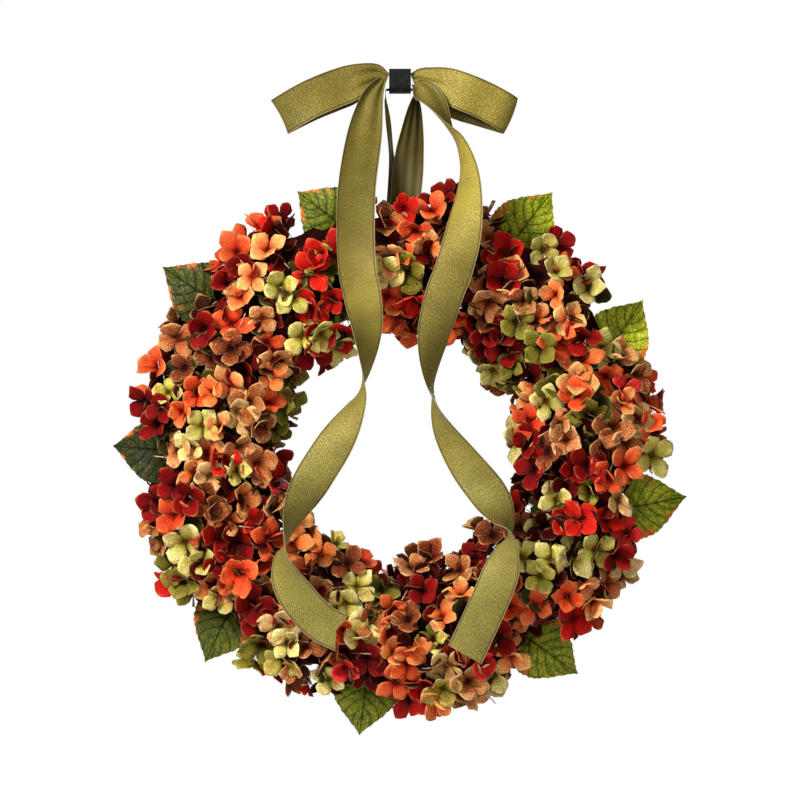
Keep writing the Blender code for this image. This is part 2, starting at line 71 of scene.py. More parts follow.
# Flower heads and leaves
HEAD_COUNT = 9
HEAD_FIRST = math.radians(8.0)
SECTOR = math.radians(360.0 / HEAD_COUNT)
HEAD_RADIAL = 0.080
HEAD_DEPTH = 0.064
HEAD_Y = BUNDLE_Y - 0.013
HEAD_FRONT_Y = HEAD_Y - HEAD_DEPTH
LEAF_TIP_FORWARD = 0.002
LEAVES = ((3, 0.030), (-9, 0.017), (-8, 0.025), (-6, 0.023), (0, 0.026), (-6, 0.025), (2, 0.021), (-1, 0.031),
          (-10, 0.008))
# Ribbon
RIBBON_WIDTH = 0.038
RIBBON_THICKNESS = 0.001
BELT_WIDTH = 0.028
BELT_RADIUS = BUNDLE_RADIUS + 0.0036 + RIBBON_THICKNESS / 2
STRAP_HALF_ANGLE = math.radians(55.0)
STRAP_OVERHANG = 0.0015
KNOT_HALF_LENGTH = HOOK_WIDTH / 2 - 0.0005
KNOT_HALF_HEIGHT = 0.0080
KNOT_HALF_DEPTH = TROUGH_RADIUS - 0.0026
KNOT_LIFT = 0.0055
BOW_SIDE_X = KNOT_HALF_LENGTH + 0.002
TAIL_ROOT = Vector((BOW_SIDE_X, 2 * TROUGH_CENTRE.y - 0.0005, 0.0))
TAIL_CLEARANCE = 0.012
TAIL_FALL = 0.395
# Bow loops: how far out, how high, share of the width, slope in degrees, depth
LEFT_LOOP = ((0.0000, 0.003, 0.26, -20, 0.0025), (0.012, 0.0055, 0.63, -8, 0.005),
             (0.033, -0.001, 0.95, 6, 0.012), (0.051, -0.007, 1.0, 14, 0.016), (0.074, -0.0165, 1.0, 22, 0.018),
             (0.092, -0.026, 1.0, 26, 0.0170), (0.1075, -0.0355, 1.0, 27, 0.003))
RIGHT_LOOP = ((0.0000, 0.003, 0.26, -20, 0.0025), (0.009, 0.002, 0.58, -8, 0.005),
              (0.022, -0.001, 0.79, 2, 0.011), (0.035, -0.0045, 0.95, 12, 0.015), (0.051, -0.0105, 1.0, 20, 0.018),
              (0.069, -0.018, 1.0, 24, 0.018), (0.0875, -0.0275, 1.0, 25, 0.014), (0.0995, -0.0355, 1.0, 22, 0.003))
LOOP_BACK_DEPTH = -0.0015
LEFT_LOOP_SAG = 0.003
RIGHT_LOOP_SAG = 0.011
# Tails and strands: sideways, level down, depth, share of the width, twist in degrees
LEFT_TAIL = ((-0.005, -0.01, 0.00, 0.21, 0), (-0.015, 0.095, 0.11, 0.58, 0), (-0.023, 0.31, 0.30, 0.92, 0),
             (-0.031, 0.64, 0.74, 1.0, 4), (-0.031, 0.99, 1.01, 1.0, 6), (-0.0255, 1.09, 1.02, 1.0, 10),
             (-0.021, 1.19, 1.03, 1.0, 42), (-0.0245, 1.315, 1.03, 1.0, 90), (-0.0345, 1.385, 1.05, 1.0, 124),
             (-0.0555, 1.48, 1.05, 1.0, 168), (-0.0735, 1.555, 1.04, 1.0, 186), (-0.0925, 1.65, 1.05, 1.0, 236),
             (-0.1015, 1.725, 1.09, 1.0, 272), (-0.103, 1.76, 1.09, 1.0, 296), (-0.0975, 1.815, 1.06, 1.0, 330),
             (-0.0845, 1.87, 1.02, 1.0, 352), (-0.0665, 1.918, 1.00, 1.0, 360), (-0.045, 1.946, 1.00, 1.0, 360))
RIGHT_TAIL = ((0.003, 0.005, 0.00, 0.21, 0), (0.012, 0.055, 0.10, 0.66, 16), (0.023, 0.145, 0.25, 0.95, 56),
              (0.0335, 0.25, 0.35, 1.0, 82), (0.046, 0.365, 0.46, 1.0, 104), (0.0535, 0.53, 0.67, 1.0, 122),
              (0.0525, 0.755, 0.92, 1.0, 148), (0.0445, 0.99, 1.01, 1.0, 176), (0.032, 1.09, 1.02, 1.0, 186),
              (0.022, 1.19, 1.03, 1.0, 212), (0.0185, 1.285, 1.03, 1.0, 246), (0.0215, 1.355, 1.03, 1.0, 272),
              (0.0315, 1.43, 1.03, 1.0, 302), (0.0535, 1.52, 1.03, 1.0, 335), (0.0755, 1.595, 1.04, 1.0, 366),
              (0.0885, 1.655, 1.06, 1.0, 410), (0.0955, 1.695, 1.08, 1.0, 452), (0.0925, 1.745, 1.08, 1.0, 492),
              (0.0845, 1.815, 1.04, 1.0, 530), (0.0695, 1.905, 1.00, 1.0, 540), (0.052, 2.00, 1.00, 1.0, 540))
FRONT_STRAND = ((0.0135, 0.15, 0.09, 0.53, 50), (0.011, 0.31, 0.25, 0.74, 31), (0.009, 0.42, 0.38, 0.82, 22),
                (0.0075, 0.55, 0.54, 0.82, 0), (0.004, 0.78, 0.82, 0.76, 0))
BACK_STRAND = ((-0.0015, 0.80, 0.40, 0.74, 14), (-0.004, 0.62, -0.80, 0.63, 50), (-0.0075, 0.42, -0.92, 0.58, 78),
               (-0.011, 0.22, -0.60, 0.42, 74))

# Blooms placed one by one: clock angle in degrees, place across the ring from -1 inside to +1 outside, colour
BLOOMS = {
    "orange": ((8, 0.2), (358, 0.02), (33, 0.33), (46, 0.42), (47, -0.04), (53, 0.32), (65, 0.2), (67, -0.7),
               (72, -0.8), (79, 0.5), (71, 0.02), (127, 0.6), (129, 0.87), (149, 0.5), (152, 0.75), (172, 0.93),
               (166, -0.18), (182, 0.3), (216, -0.75), (228, -0.77), (220, 0.25), (233, 0.72), (252, -0.3),
               (247, -0.02), (241, -0.1), (268, 0.1), (276, -0.1), (290, -0.1), (286, 0.1), (298, -0.58), (304, -0.64),
               (313, 0.48), (319, 0.5), (326, 0.66), (177, 0.2), (158, -0.37), (263, 0.3)),
    "coral": ((4, 0.42), (8, 0.72), (1, 0), (43, 0.75), (56, 0.02), (54, 0.15), (71, 0.5), (75, 1.0), (74, -0.05),
              (79, -0.8), (85, 0.85), (98, 0.3), (95, 0.5), (132, 0.5), (140, 0.3), (146, 0.1), (178, 0.4),
              (184, 0.0), (181, 0.7), (197, 0.05), (199, -0.95), (232, 0.25), (253, 0.66), (235, -0.4), (279, 0.45),
              (285, 0.3), (288, -0.7), (288, 1.0), (306, 0.34), (308, -0.35), (320, 0.9), (355, -0.55), (5, -1.0),
              (232, 0.5)),
    "red": ((1, 0.7), (29, 0.56), (5, -0.53), (112, 0.1), (110, 0.55), (114, -0.08), (135, 0.8), (242, -0.4),
            (267, -0.1), (328, -0.35), (333, -0.85), (333, 0.1), (337, 0.2)),
    "rose": ((111, 0.9), (159, 0.6), (194, 0.6), (76, 0.62)),
    "crimson": ((4, 1.0), (9, 0.95), (356, 0.35), (28, 0.33), (32, 0.1), (38, 0.95), (46, 0.92), (59, 0.35), (37, -0.6),
                (43, -0.45), (47, -0.66), (96, 0.0), (98, -0.15), (88, -0.8), (100, -0.75), (117, 0.75), (153, 0.4),
                (171, -0.57), (146, -0.9), (189, 0.45), (219, 0.53), (223, 0.42), (237, 0.38), (260, 0.6), (257, 0.9),
                (279, 0.72), (301, 0.6), (318, -0.8), (319, 0.7), (313, 0.8), (324, -0.75), (239, 0.0), (256, 0.4),
                (275, 0.85)),
    "lime": ((357, 0.78), (356, -0.2), (36, 0.8), (42, 0.62), (50, 0.85), (64, 0.6), (73, -0.55), (87, -1.0), (92, 0.9),
             (109, -0.4), (119, -0.38), (118, 0.5), (133, 0.04), (127, 0.0), (157, 0.85), (170, 0.8), (170, 0.1),
             (192, 0.15), (197, 0.85), (199, -0.3), (197, -0.62), (210, 0.55), (209, 0.78), (230, 0.8), (240, 0.64),
             (246, 0.68), (262, -0.35), (270, 0.35), (276, 0.15), (283, 0.72), (323, 0.15), (324, -0.05), (318, -0.55),
             (325, -0.68), (328, -1.05), (214, -1.05), (50, -0.95)),
    "olive": ((3, -0.2), (43, -0.25), (55, -0.22), (54, -0.7), (70, -0.4), (81, 0.05), (103, 0.12), (187, -0.75),
              (215, 0.8), (243, 1.0), (238, 0.95), (289, -0.9), (278, -0.88), (337, 0.1)),
    "tan": ((356, 0.55), (23, 0.62), (40, 0.03), (28, -0.1), (31, -0.3), (68, 0.8), (73, 0.9), (85, 0.35), (82, -0.37),
            (89, 0.55), (88, -0.3), (164, 0.8), (149, -0.57), (190, -0.2), (209, -0.3), (205, 0.5), (206, 0.85),
            (253, 1.0), (249, 1.0), (269, 0.6), (270, -0.45), (278, -0.6), (286, -0.45), (296, 0.83), (313, 0.0),
            (175, -0.9), (154, -0.75)),
    "brown": ((34, -0.5), (92, -0.55), (134, -0.8), (165, -1.0), (177, -0.2), (255, 0.15), (251, 0.12), (279, -0.62),
              (290, 0.6), (296, 0.25), (300, 0.1), (204, -0.8)),
    "cream": ((84, 0.7), (104, 0.6), (117, 1.0), (214, 0.4), (281, -0.38), (261, 0.08), (168, 0.5)),
}


def tone(red, green, blue):
    """A colour picked on screen, from 0 to 255, as the linear colour that a shader takes."""
    return tuple(c / 12.92 if c <= 0.04045 else ((c + 0.055) / 1.055) ** 2.4
                 for c in (red / 255, green / 255, blue / 255))


# Each colour's tone near the eye of the floret, and its paler tone at the petal tips: partly the petals' own colour,
# partly painted shade towards the eye and painted highlight towards the tips
PETAL_TONES = {
    "orange": (tone(236, 92, 24), tone(250, 204, 126)), "coral": (tone(214, 42, 14), tone(248, 138, 74)),
    "red": (tone(168, 8, 6), tone(226, 42, 24)), "rose": (tone(184, 16, 24), tone(236, 66, 60)),
    "crimson": (tone(88, 2, 3), tone(156, 18, 14)), "lime": (tone(190, 186, 56), tone(252, 248, 166)),
    "olive": (tone(92, 92, 20), tone(170, 166, 66)), "tan": (tone(184, 92, 34), tone(246, 200, 134)),
    "brown": (tone(98, 34, 12), tone(200, 122, 72)), "cream": (tone(214, 164, 88), tone(252, 234, 172)),
}


# How strongly each colour's net of veins shows
NETTED = {"orange": 0.55, "coral": 0.5, "red": 0.4, "rose": 0.5, "crimson": 0.3, "lime": 0.62, "olive": 0.65, "tan": 0.9,
          "brown": 1.0, "cream": 0.6}


def swatch(name, about, colour):
    return FloatVectorProperty(name=name, description=about, default=colour, size=3, min=0.0, max=1.0, subtype="COLOR")


def length(name, about, default):
    return FloatProperty(name=name, description=about, default=default, min=0.0, unit="LENGTH", subtype="DISTANCE")


class WreathFlowerSettings(bpy.types.PropertyGroup):
    petal_length: length("Petal length", "Length of a hydrangea petal from the eye of the floret to its tip", 0.0215)
    spacing: length("Floret spacing", "Least distance between the eyes of two outer florets", 0.0212)
    inner_spacing: length("Inner floret spacing", "Least distance between florets of the darker inner layer", 0.0205)
    # Papery edge colour, also painted highlight along the petal's edge
    rim: swatch("Petal rim", "Pale papery colour along a petal's edge", tone(238, 196, 132))
    stalk: swatch("Floret stalk", "Colour of the thin stalks between the florets", tone(206, 160, 132))
    seed: IntProperty(name="Arrangement", description="Number that fixes how the florets fall", default=11, min=0)


class WreathLeafSettings(bpy.types.PropertyGroup):
    width: length("Leaf width", "Width of a leaf at its widest", 0.062)
    # Shaded and sunlit copies of the leaf green, mixed per leaf as painted light
    shade_side: swatch("Deep green", "Green of the older leaves", tone(52, 54, 14))
    sun_side: swatch("Fresh green", "Green of the younger leaves", tone(190, 190, 42))
    blush: swatch("Autumn blush", "Rust colour at the leaf edges", tone(206, 98, 36))


class WreathRibbonSettings(bpy.types.PropertyGroup):
    cloth: length("Cloth thickness", "Thickness of the ribbon cloth", 0.00045)
    twill: FloatProperty(name="Twill lines", description="Diagonal lines of the weave across the ribbon's width",
                         default=15.0, min=4.0)
    gold: swatch("Golden olive", "Ribbon colour near the bow", tone(126, 111, 36))
    moss: swatch("Mossy olive", "Ribbon colour towards the ends of the tails", tone(135, 124, 52))
    # Painted shade colour for the valleys of the weave
    shadow: swatch("Deep olive", "Colour in the valleys of the weave", tone(65, 53, 10))
    edge: swatch("Selvedge", "Dark woven line inside each edge", tone(62, 42, 18))


class WreathVineSettings(bpy.types.PropertyGroup):
    bark: swatch("Bark", "Main colour of the grapevine", tone(112, 74, 44))
    groove: swatch("Bark groove", "Colour in the grooves of the bark", tone(44, 26, 16))
    ridges: IntProperty(name="Bark ridges", description="Long ridges round a strand", default=5, min=2)


class WreathStageSettings(bpy.types.PropertyGroup):
    distance: length("Camera distance", "Distance from the camera to the wreath", 12.0)
    view_width: length("View width", "Width that the camera takes in at the wreath", 0.8)
    key: FloatProperty(name="Key light", description="Strength of the large soft light at upper left", default=174.0,
                       unit="POWER")
    fill: FloatProperty(name="Fill light", description="Strength of the soft light in front", default=30.0, unit="POWER")
    back: FloatProperty(name="Back light", description="Strength of the soft light behind", default=75.0, unit="POWER")


class Dye:
    """One output of a material's node tree, so that shader maths reads as plain arithmetic."""

    def __init__(self, pot, socket):
        self.pot, self.socket = pot, socket

    def maths(self, operation, *values):
        return self.pot.node("ShaderNodeMath", {"operation": operation}, dict(enumerate(values)))

    def __add__(self, other):
        return self.maths("ADD", self, other)

    def __sub__(self, other):
        return self.maths("SUBTRACT", self, other)

    def __rsub__(self, other):
        return self.maths("SUBTRACT", other, self)

    def __mul__(self, other):
        return self.maths("MULTIPLY", self, other)

    def __truediv__(self, other):
        return self.maths("DIVIDE", self, other)

    def __rtruediv__(self, other):
        return self.maths("DIVIDE", other, self)

    def __pow__(self, other):
        return self.maths("POWER", self, other)

    def __gt__(self, other):
        return self.maths("GREATER_THAN", self, other)

    def __lt__(self, other):
        return self.maths("LESS_THAN", self, other)

    __radd__, __rmul__ = __add__, __mul__

    def sine(self):
        return self.maths("SINE", self)

    def size(self):
        return self.maths("ABSOLUTE", self)

    def between(self, low, high):
        """0 at low and 1 at high, held outside them; low may be the larger."""
        return self.pot.node("ShaderNodeMapRange", {"interpolation_type": "SMOOTHSTEP"}, {0: self, 1: low, 2: high})


class DyePot:
    """A procedural material and the nodes in it."""

    def __init__(self, name, **fixed):
        self.material = bpy.data.materials.new(name)
        self.material.use_nodes = True
        self.tree = self.material.node_tree
        self.shader = self.tree.nodes["Principled BSDF"]
        for socket, value in fixed.items():
            self.shader.inputs[socket.replace("_", " ").title().replace("Ior", "IOR")].default_value = value

    def node(self, kind, settings=None, inputs=None, output=0):
        made = self.tree.nodes.new(kind)
        for key, value in (settings or {}).items():
            if key == "stops":
                stops = made.color_ramp.elements
                while len(stops) < len(value):
                    stops.new(1.0)
                for stop, (place, colour) in zip(stops, value):
                    stop.position, stop.color = place, (*colour, 1.0)
            else:
                setattr(made, key, value)
        for key, value in (inputs or {}).items():
            socket = made.inputs[key]
            if isinstance(value, Dye):
                self.tree.links.new(value.socket, socket)
            elif socket.type == "RGBA" and len(value) == 3:
                socket.default_value = (*value, 1.0)
            else:
                socket.default_value = value
        return Dye(self, made.outputs[output])

    def mix(self, share, first, second, blend="MIX"):
        return self.node("ShaderNodeMix", {"data_type": "RGBA", "blend_type": blend}, {0: share, 6: first, 7: second}, 2)

    def ramp(self, value, *stops):
        return self.node("ShaderNodeValToRGB", {"stops": stops}, {0: value})

    def place(self):
        return self.node("ShaderNodeTexCoord", output="Object")

    def map(self, name):
        return self.node("ShaderNodeUVMap", {"uv_map": name})

    def axis(self, vector, which):
        return self.node("ShaderNodeSeparateXYZ", None, {0: vector}, which)

    def stretched(self, vector, scale, place=(0, 0, 0)):
        return self.node("ShaderNodeMapping", None, {0: vector, "Scale": scale, "Location": place})

    def cloud(self, vector, scale, detail=3.0, rough=0.55):
        return self.node("ShaderNodeTexNoise", None, {"Vector": vector, "Scale": scale, "Detail": detail,
                                                      "Roughness": rough})

    def cells(self, vector, scale, feature="DISTANCE_TO_EDGE"):
        return self.node("ShaderNodeTexVoronoi", {"feature": feature}, {"Vector": vector, "Scale": scale})

    def finish(self, colour, roughness, height, relief):
        """Joins the colour, the roughness and a height in shares of relief, which is in metres."""
        for socket, value in (("Base Color", colour), ("Roughness", roughness)):
            if isinstance(value, Dye):
                self.tree.links.new(value.socket, self.shader.inputs[socket])
            else:
                self.shader.inputs[socket].default_value = value
        bump = self.node("ShaderNodeBump", None, {"Height": height, "Distance": relief, "Strength": 1.0})
        self.tree.links.new(bump.socket, self.shader.inputs["Normal"])
        return self.material


def petal_dye(settings):
    """Dried hydrangea petal: each floret's own colour, a net of veins, painted shade towards the eye of the floret, and
    a pale papery rim that is also painted highlight where the edge catches light.
    """
    pot = DyePot("dried_petal", specular_ior_level=0.06)
    bloom = pot.node("ShaderNodeAttribute", {"attribute_name": "bloom"})
    netted = pot.node("ShaderNodeAttribute", {"attribute_name": "bloom"}, output=3)
    spot = pot.map("petal")
    across, along = pot.axis(spot, 0), pot.axis(spot, 1)
    off = (across - 0.5).size() * 2
    place = pot.place()
    warp = pot.cloud(place, 300.0, 2.0)
    fan = ((across - 0.5) / (along * 0.5 + 0.45) * 21 + (warp - 0.5) * 7).sine().size()
    net = pot.cells(place, 420.0).between(0.26, 0.03)
    vein = fan.between(0.45, 0.05)
    vein = vein.maths("MAXIMUM", vein, net * 0.85)
    painted_throat_shade = along.between(0.40, 0.0)
    rim = off.maths("MAXIMUM", off, along * 1.01).between(0.86, 0.98)
    blotch = pot.cloud(place, 110.0, 3.0)
    colour = pot.mix(blotch.between(0.44, 0.66) * 0.6, bloom, (0.72, 0.40, 0.28), "MULTIPLY")
    colour = pot.mix(vein * netted, colour, (0.34, 0.14, 0.07), "MULTIPLY")
    # Pale rim: partly the papery colour of the edge, partly painted highlight where the edge catches light
    papery = pot.mix(netted * 0.5, bloom, settings.rim[:])
    colour = pot.mix(rim * blotch.between(0.68, 0.42) * 0.75, colour, papery)
    # Painted shade: the petal is darkened towards its foot by the eye of the floret
    colour = pot.mix(painted_throat_shade * 0.9, colour, (0.10, 0.03, 0.02), "MULTIPLY")
    return pot.finish(colour, 0.62, 1 - vein * 0.8 + blotch * 0.6, 0.0006)


def stalk_dye(colour, name="floret_stalk"):
    pot = DyePot(name, specular_ior_level=0.3)
    place = pot.place()
    streak = pot.cloud(pot.stretched(place, (1, 1, 1)), 240.0, 3.0)
    tint = pot.mix(streak.between(0.3, 0.7), colour, tuple(0.45 * c for c in colour))
    return pot.finish(tint, 0.6 + streak * 0.2, streak, 0.0002)


def painted_shade_heart_dye():
    """The tangle of stalks and bracts behind the florets, painted near-black as the shade inside the head."""
    pot = DyePot("painted_shade_head_heart", specular_ior_level=0.0)
    place = pot.place()
    tangle = pot.cells(place, 130.0)
    grain = pot.cloud(place, 70.0, 4.0)
    colour = pot.mix(tangle.between(0.0, 0.12) * grain, (0.016, 0.004, 0.003), (0.003, 0.001, 0.001))
    return pot.finish(colour, 0.85, tangle + grain, 0.003)


def leaf_dye(settings):
    """Leaf green mixed per leaf between a shaded and a sunlit copy as painted light, a darker vein network, painted
    shade and highlight on the quilting between the veins, and a rusty blush at the edge.
    """
    pot = DyePot("hydrangea_leaf", specular_ior_level=0.18)
    spot = pot.map("blade")
    across, along = pot.axis(spot, 0), pot.axis(spot, 1)
    place = pot.place()
    age = pot.node("ShaderNodeAttribute", {"attribute_name": "age"}, output=2)
    off = (across - 0.5).size() * 2
    wander = pot.cloud(place, 60.0, 2.0) - 0.5
    mid = off.between(0.06, 0.01)
    rib = ((along * 8.0 - off * 2.1 + wander * 0.35) * math.pi).sine().size()
    side = rib.between(0.19, 0.02)
    net = pot.cells(place, 260.0).between(0.16, 0.0)
    quilt = pot.cloud(place, 190.0, 3.0)
    # Painted light: each leaf mixed between its shaded and its sunlit green
    colour = pot.mix(age, settings.shade_side[:], settings.sun_side[:])
    # Painted shade on the quilting: patches of the quilting noise darkened
    colour = pot.mix(quilt.between(0.38, 0.66) * 0.85, colour, (0.40, 0.50, 0.36), "MULTIPLY")
    colour = pot.mix(pot.cloud(place, 38.0, 2.0).between(0.44, 0.66) * 0.5, colour, (0.38, 0.48, 0.34), "MULTIPLY")
    # Painted highlight between the side veins
    colour = pot.mix(rib.between(0.25, 0.95) * 0.3, colour, (0.95, 0.95, 0.34), "SOFT_LIGHT")
    colour = pot.mix(net * 0.6, colour, (0.26, 0.36, 0.18), "MULTIPLY")
    colour = pot.mix(side.maths("MAXIMUM", side, mid) * 0.78, colour, (0.16, 0.26, 0.14), "MULTIPLY")
    edge = off.between(0.62, 1.0) * pot.cloud(place, 42.0, 2.0).between(0.52, 0.64)
    colour = pot.mix(edge, colour, settings.blush[:])
    height = 1 - side - mid - net * 0.4 + quilt * 0.5
    return pot.finish(colour, 0.44 + quilt * 0.2, height, 0.0011)


def ribbon_dye(settings):
    """Olive satin twill: fine slanting lines, a grain with painted glints, painted shade in the valleys of the weave,
    and a dark line inside a pale edge.
    """
    pot = DyePot("olive_ribbon", metallic=0.15, sheen_weight=0.04, sheen_roughness=0.4, specular_ior_level=0.2)
    across = pot.axis(pot.map("weave"), 0)
    spot = pot.map("twill")
    low = pot.axis(pot.place(), 2).between(-0.14, -0.40)
    slant = ((pot.axis(spot, 0) - pot.axis(spot, 1) + (pot.cloud(spot, 14.0, 2.0) - 0.5) * 0.05) * (2 * math.pi * settings.twill)).sine()
    grain = pot.cloud(pot.stretched(spot, (1.0, 0.6, 1.0)), 34.0, 2.0, 0.75)
    painted_glint = grain.between(0.52, 0.66)
    pit = grain.between(0.50, 0.34)
    cloud = pot.cloud(spot, 1.3, 3.0)
    colour = pot.mix(low, settings.gold[:], settings.moss[:])
    colour = pot.mix(cloud.between(0.40, 0.66) * 0.45, colour, (0.58, 0.50, 0.44), "MULTIPLY")
    # Painted shade: the twill lines and the pits of the grain are darkened towards the deep olive of the weave's
    # valleys
    colour = pot.mix(slant.between(0.6, -0.9) * 0.55 + pit * 0.4, colour, settings.shadow[:])
    # Painted glints: the brightest specks of the grain are mixed towards a pale gold
    colour = pot.mix(painted_glint * 0.36, colour, (0.46, 0.425, 0.175))
    # Painted sheen and shade: each piece's colour brightened or darkened along its run
    nap = pot.node("ShaderNodeAttribute", {"attribute_name": "nap"}, output=2)
    colour = pot.mix(1.0, colour, nap, "MULTIPLY")
    off = (across - 0.5).size() * 2
    line = off.between(0.88, 0.915) * off.between(0.97, 0.945)
    lip = off.between(0.955, 0.975)
    colour = pot.mix(line * 0.8, colour, settings.edge[:])
    colour = pot.mix(lip * 0.5, colour, (0.37, 0.325, 0.15))
    height = slant * 0.3 + grain + lip * 1.4 - line * 0.6
    return pot.finish(colour, 0.52 + pit * 0.2 - painted_glint * 0.1, height, 0.0003)


def bark_dye(settings):
    """Grapevine bark: long split fibres, pale where rubbed and dark in the grooves."""
    pot = DyePot("grapevine_bark", specular_ior_level=0.2)
    spot = pot.map("bark")
    fibre = pot.cloud(pot.stretched(spot, (90.0, 6.0, 1.0)), 1.0, 4.0, 0.65)
    flake = pot.cells(pot.stretched(spot, (60.0, 3.0, 1.0)), 1.0)
    rub = pot.cloud(pot.place(), 30.0, 3.0)
    colour = pot.mix(fibre.between(0.36, 0.62), settings.groove[:], settings.bark[:])
    colour = pot.mix(flake.between(0.06, 0.0) * 0.6, colour, settings.groove[:])
    colour = pot.mix(rub.between(0.52, 0.72) * 0.4, colour, (0.42, 0.32, 0.22))
    return pot.finish(colour, 0.78 + fibre * 0.15, fibre + flake.between(0.0, 0.1) * 0.5, 0.0012)


def stem_dye(name, colour, dark):
    """A dry woody stem, streaked along its length and knobbly."""
    pot = DyePot(name, specular_ior_level=0.25)
    place = pot.place()
    streak = pot.cloud(place, 420.0, 3.0)
    patch = pot.cloud(place, 90.0, 2.0)
    tint = pot.mix(streak.between(0.35, 0.65), dark, colour)
    tint = pot.mix(patch.between(0.5, 0.7) * 0.5, tint, tuple(min(1.0, 1.5 * c) for c in colour))
    return pot.finish(tint, 0.65 + streak * 0.2, streak, 0.0003)


def hook_dye():
    """Black powder coat: a fine orange-peel skin and duller dust on it."""
    pot = DyePot("black_powder_coat", specular_ior_level=0.14)
    place = pot.place()
    peel = pot.cloud(place, 1500.0, 2.0)
    dust = pot.cloud(place, 120.0, 4.0)
    colour = pot.mix(dust.between(0.4, 0.75), tone(6, 7, 5), tone(20, 21, 16))
    return pot.finish(colour, 0.42 + dust * 0.2, peel, 0.00012)


def wire_dye():
    """Green-lacquered florist wire, with bare metal showing where it was bent."""
    pot = DyePot("florist_wire", specular_ior_level=0.5)
    place = pot.place()
    chip = pot.cloud(place, 900.0, 3.0)
    colour = pot.mix(chip.between(0.58, 0.68), tone(36, 62, 40), tone(126, 124, 112))
    return pot.finish(colour, 0.35 + chip * 0.25, chip, 0.0001)


def around(angle, radius, y):
    """A point at a clock angle and radius on the ring, moved to depth y."""
    return Vector((radius * math.sin(angle), y, RING_CENTRE_Z + radius * math.cos(angle)))


def bundle_point(angle, side, radius):
    """A point beside the vine bundle's centre line. Side 0 is its front and 90 degrees its outside."""
    return around(angle, RING_RADIUS + radius * math.sin(side), BUNDLE_Y - radius * math.cos(side))


def smooth_between(stations, steps, closed=False):
    """Rows read from a smooth curve through the stations, `steps` to each gap."""
    rows = [Vector(station) for station in stations]
    if closed:
        padded = [rows[-1]] + rows + rows[:2]
    else:
        padded = [2 * rows[0] - rows[1]] + rows + [2 * rows[-1] - rows[-2]]
    result = []
    for before, start, end, after in zip(padded, padded[1:], padded[2:], padded[3:]):
        for step in range(steps):
            t = step / steps
            result.append(0.5 * (2 * start + (end - before) * t
                                 + (2 * before - 5 * start + 4 * end - after) * t ** 2
                                 + (3 * start - before - 3 * end + after) * t ** 3))
    result.append(rows[0] if closed else rows[-1])
    return result


def only(piece):
    """Select one object and nothing else."""
    bpy.ops.object.select_all(action="DESELECT")
    piece.select_set(True)
    bpy.context.view_layer.objects.active = piece
    return piece


def add(primitive, name, **sizes):
    """Add a primitive with nothing else selected, and name it and its mesh."""
    bpy.ops.object.select_all(action="DESELECT")
    primitive(**sizes)
    piece = bpy.context.object
    piece.name = piece.data.name = name
    return piece


def apply_modifier(piece, kind, **settings):
    made = piece.modifiers.new(kind.lower(), kind)
    for key, value in settings.items():
        setattr(made, key, value)
    only(piece)
    bpy.ops.object.modifier_apply(modifier=made.name)


def clean(piece, merge=0.0, outward=True):
    """Merge points that lie within `merge` of each other, and turn the faces outward."""
    only(piece)
    bpy.ops.object.mode_set(mode="EDIT")
    bpy.ops.mesh.select_all(action="SELECT")
    if merge:
        bpy.ops.mesh.remove_doubles(threshold=merge)
    if outward:
        bpy.ops.mesh.normals_make_consistent(inside=False)
    bpy.ops.object.mode_set(mode="OBJECT")


def dress(piece, material, body, slot, *nodes):
    """Give a piece its material and its body, and hide the frame nodes that it stands for; the finish slot is not used.
    """
    if material is not None:
        piece.data.materials.clear()
        piece.data.materials.append(material)
    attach(piece, body)
    if nodes:
        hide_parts(*nodes)
    return piece


def along_run(stops, share):
    """The value at a share of a run, read straight between the stops."""
    for (start, low), (end, high) in zip(stops, stops[1:]):
        if share <= end:
            return low + (high - low) * (share - start) / (end - start)
    return stops[-1][1]


def lay_ribbon(name, rows, settings, nap, closed=False):
    """A grid laid along the rows of points, with its weave map in ribbon widths, then given its thickness.

    Its last argument paints sheen and shade: how bright the satin is painted at shares of its run."""
    columns = len(rows[0])
    piece = add(bpy.ops.mesh.primitive_grid_add, name, x_subdivisions=columns - 1, y_subdivisions=len(rows) - 1,
                size=2.0, calc_uvs=True)
    mesh = piece.data
    mesh.uv_layers[0].name = "weave"
    middle = columns // 2
    walked = [0.0]
    for row, following in zip(rows, rows[1:]):
        walked.append(walked[-1] + (following[middle] - row[middle]).length)
    spots, true_spots = {}, {}
    sheen = mesh.attributes.new("nap", "FLOAT", "POINT")
    for vertex in mesh.vertices:
        column = round((vertex.co.x + 1) / 2 * (columns - 1))
        row = round((vertex.co.y + 1) / 2 * (len(rows) - 1))
        # Painted sheen and shade, stored on each point along the run
        sheen.data[vertex.index].value = along_run(nap, walked[row] / walked[-1])
        gathered = (rows[row][-1] - rows[row][0]).length / RIBBON_WIDTH
        if closed and gathered < 0.02:
            gathered = 1.0
        spots[vertex.index] = (column / (columns - 1), walked[row] / RIBBON_WIDTH)
        true_spots[vertex.index] = ((column / (columns - 1) - 0.5) * gathered, walked[row] / RIBBON_WIDTH)
        vertex.co = rows[row][column]
    mesh.uv_layers.new(name="twill")
    for loop in mesh.loops:
        mesh.uv_layers["weave"].data[loop.index].uv = spots[loop.vertex_index]
        mesh.uv_layers["twill"].data[loop.index].uv = true_spots[loop.vertex_index]
    if closed:
        clean(piece, 0.00002, False)
    apply_modifier(piece, "SOLIDIFY", thickness=settings.cloth, offset=0.0, use_even_offset=False)
    only(piece)
    bpy.ops.object.shade_smooth_by_angle(angle=math.radians(50))
    return piece, walked[-1]


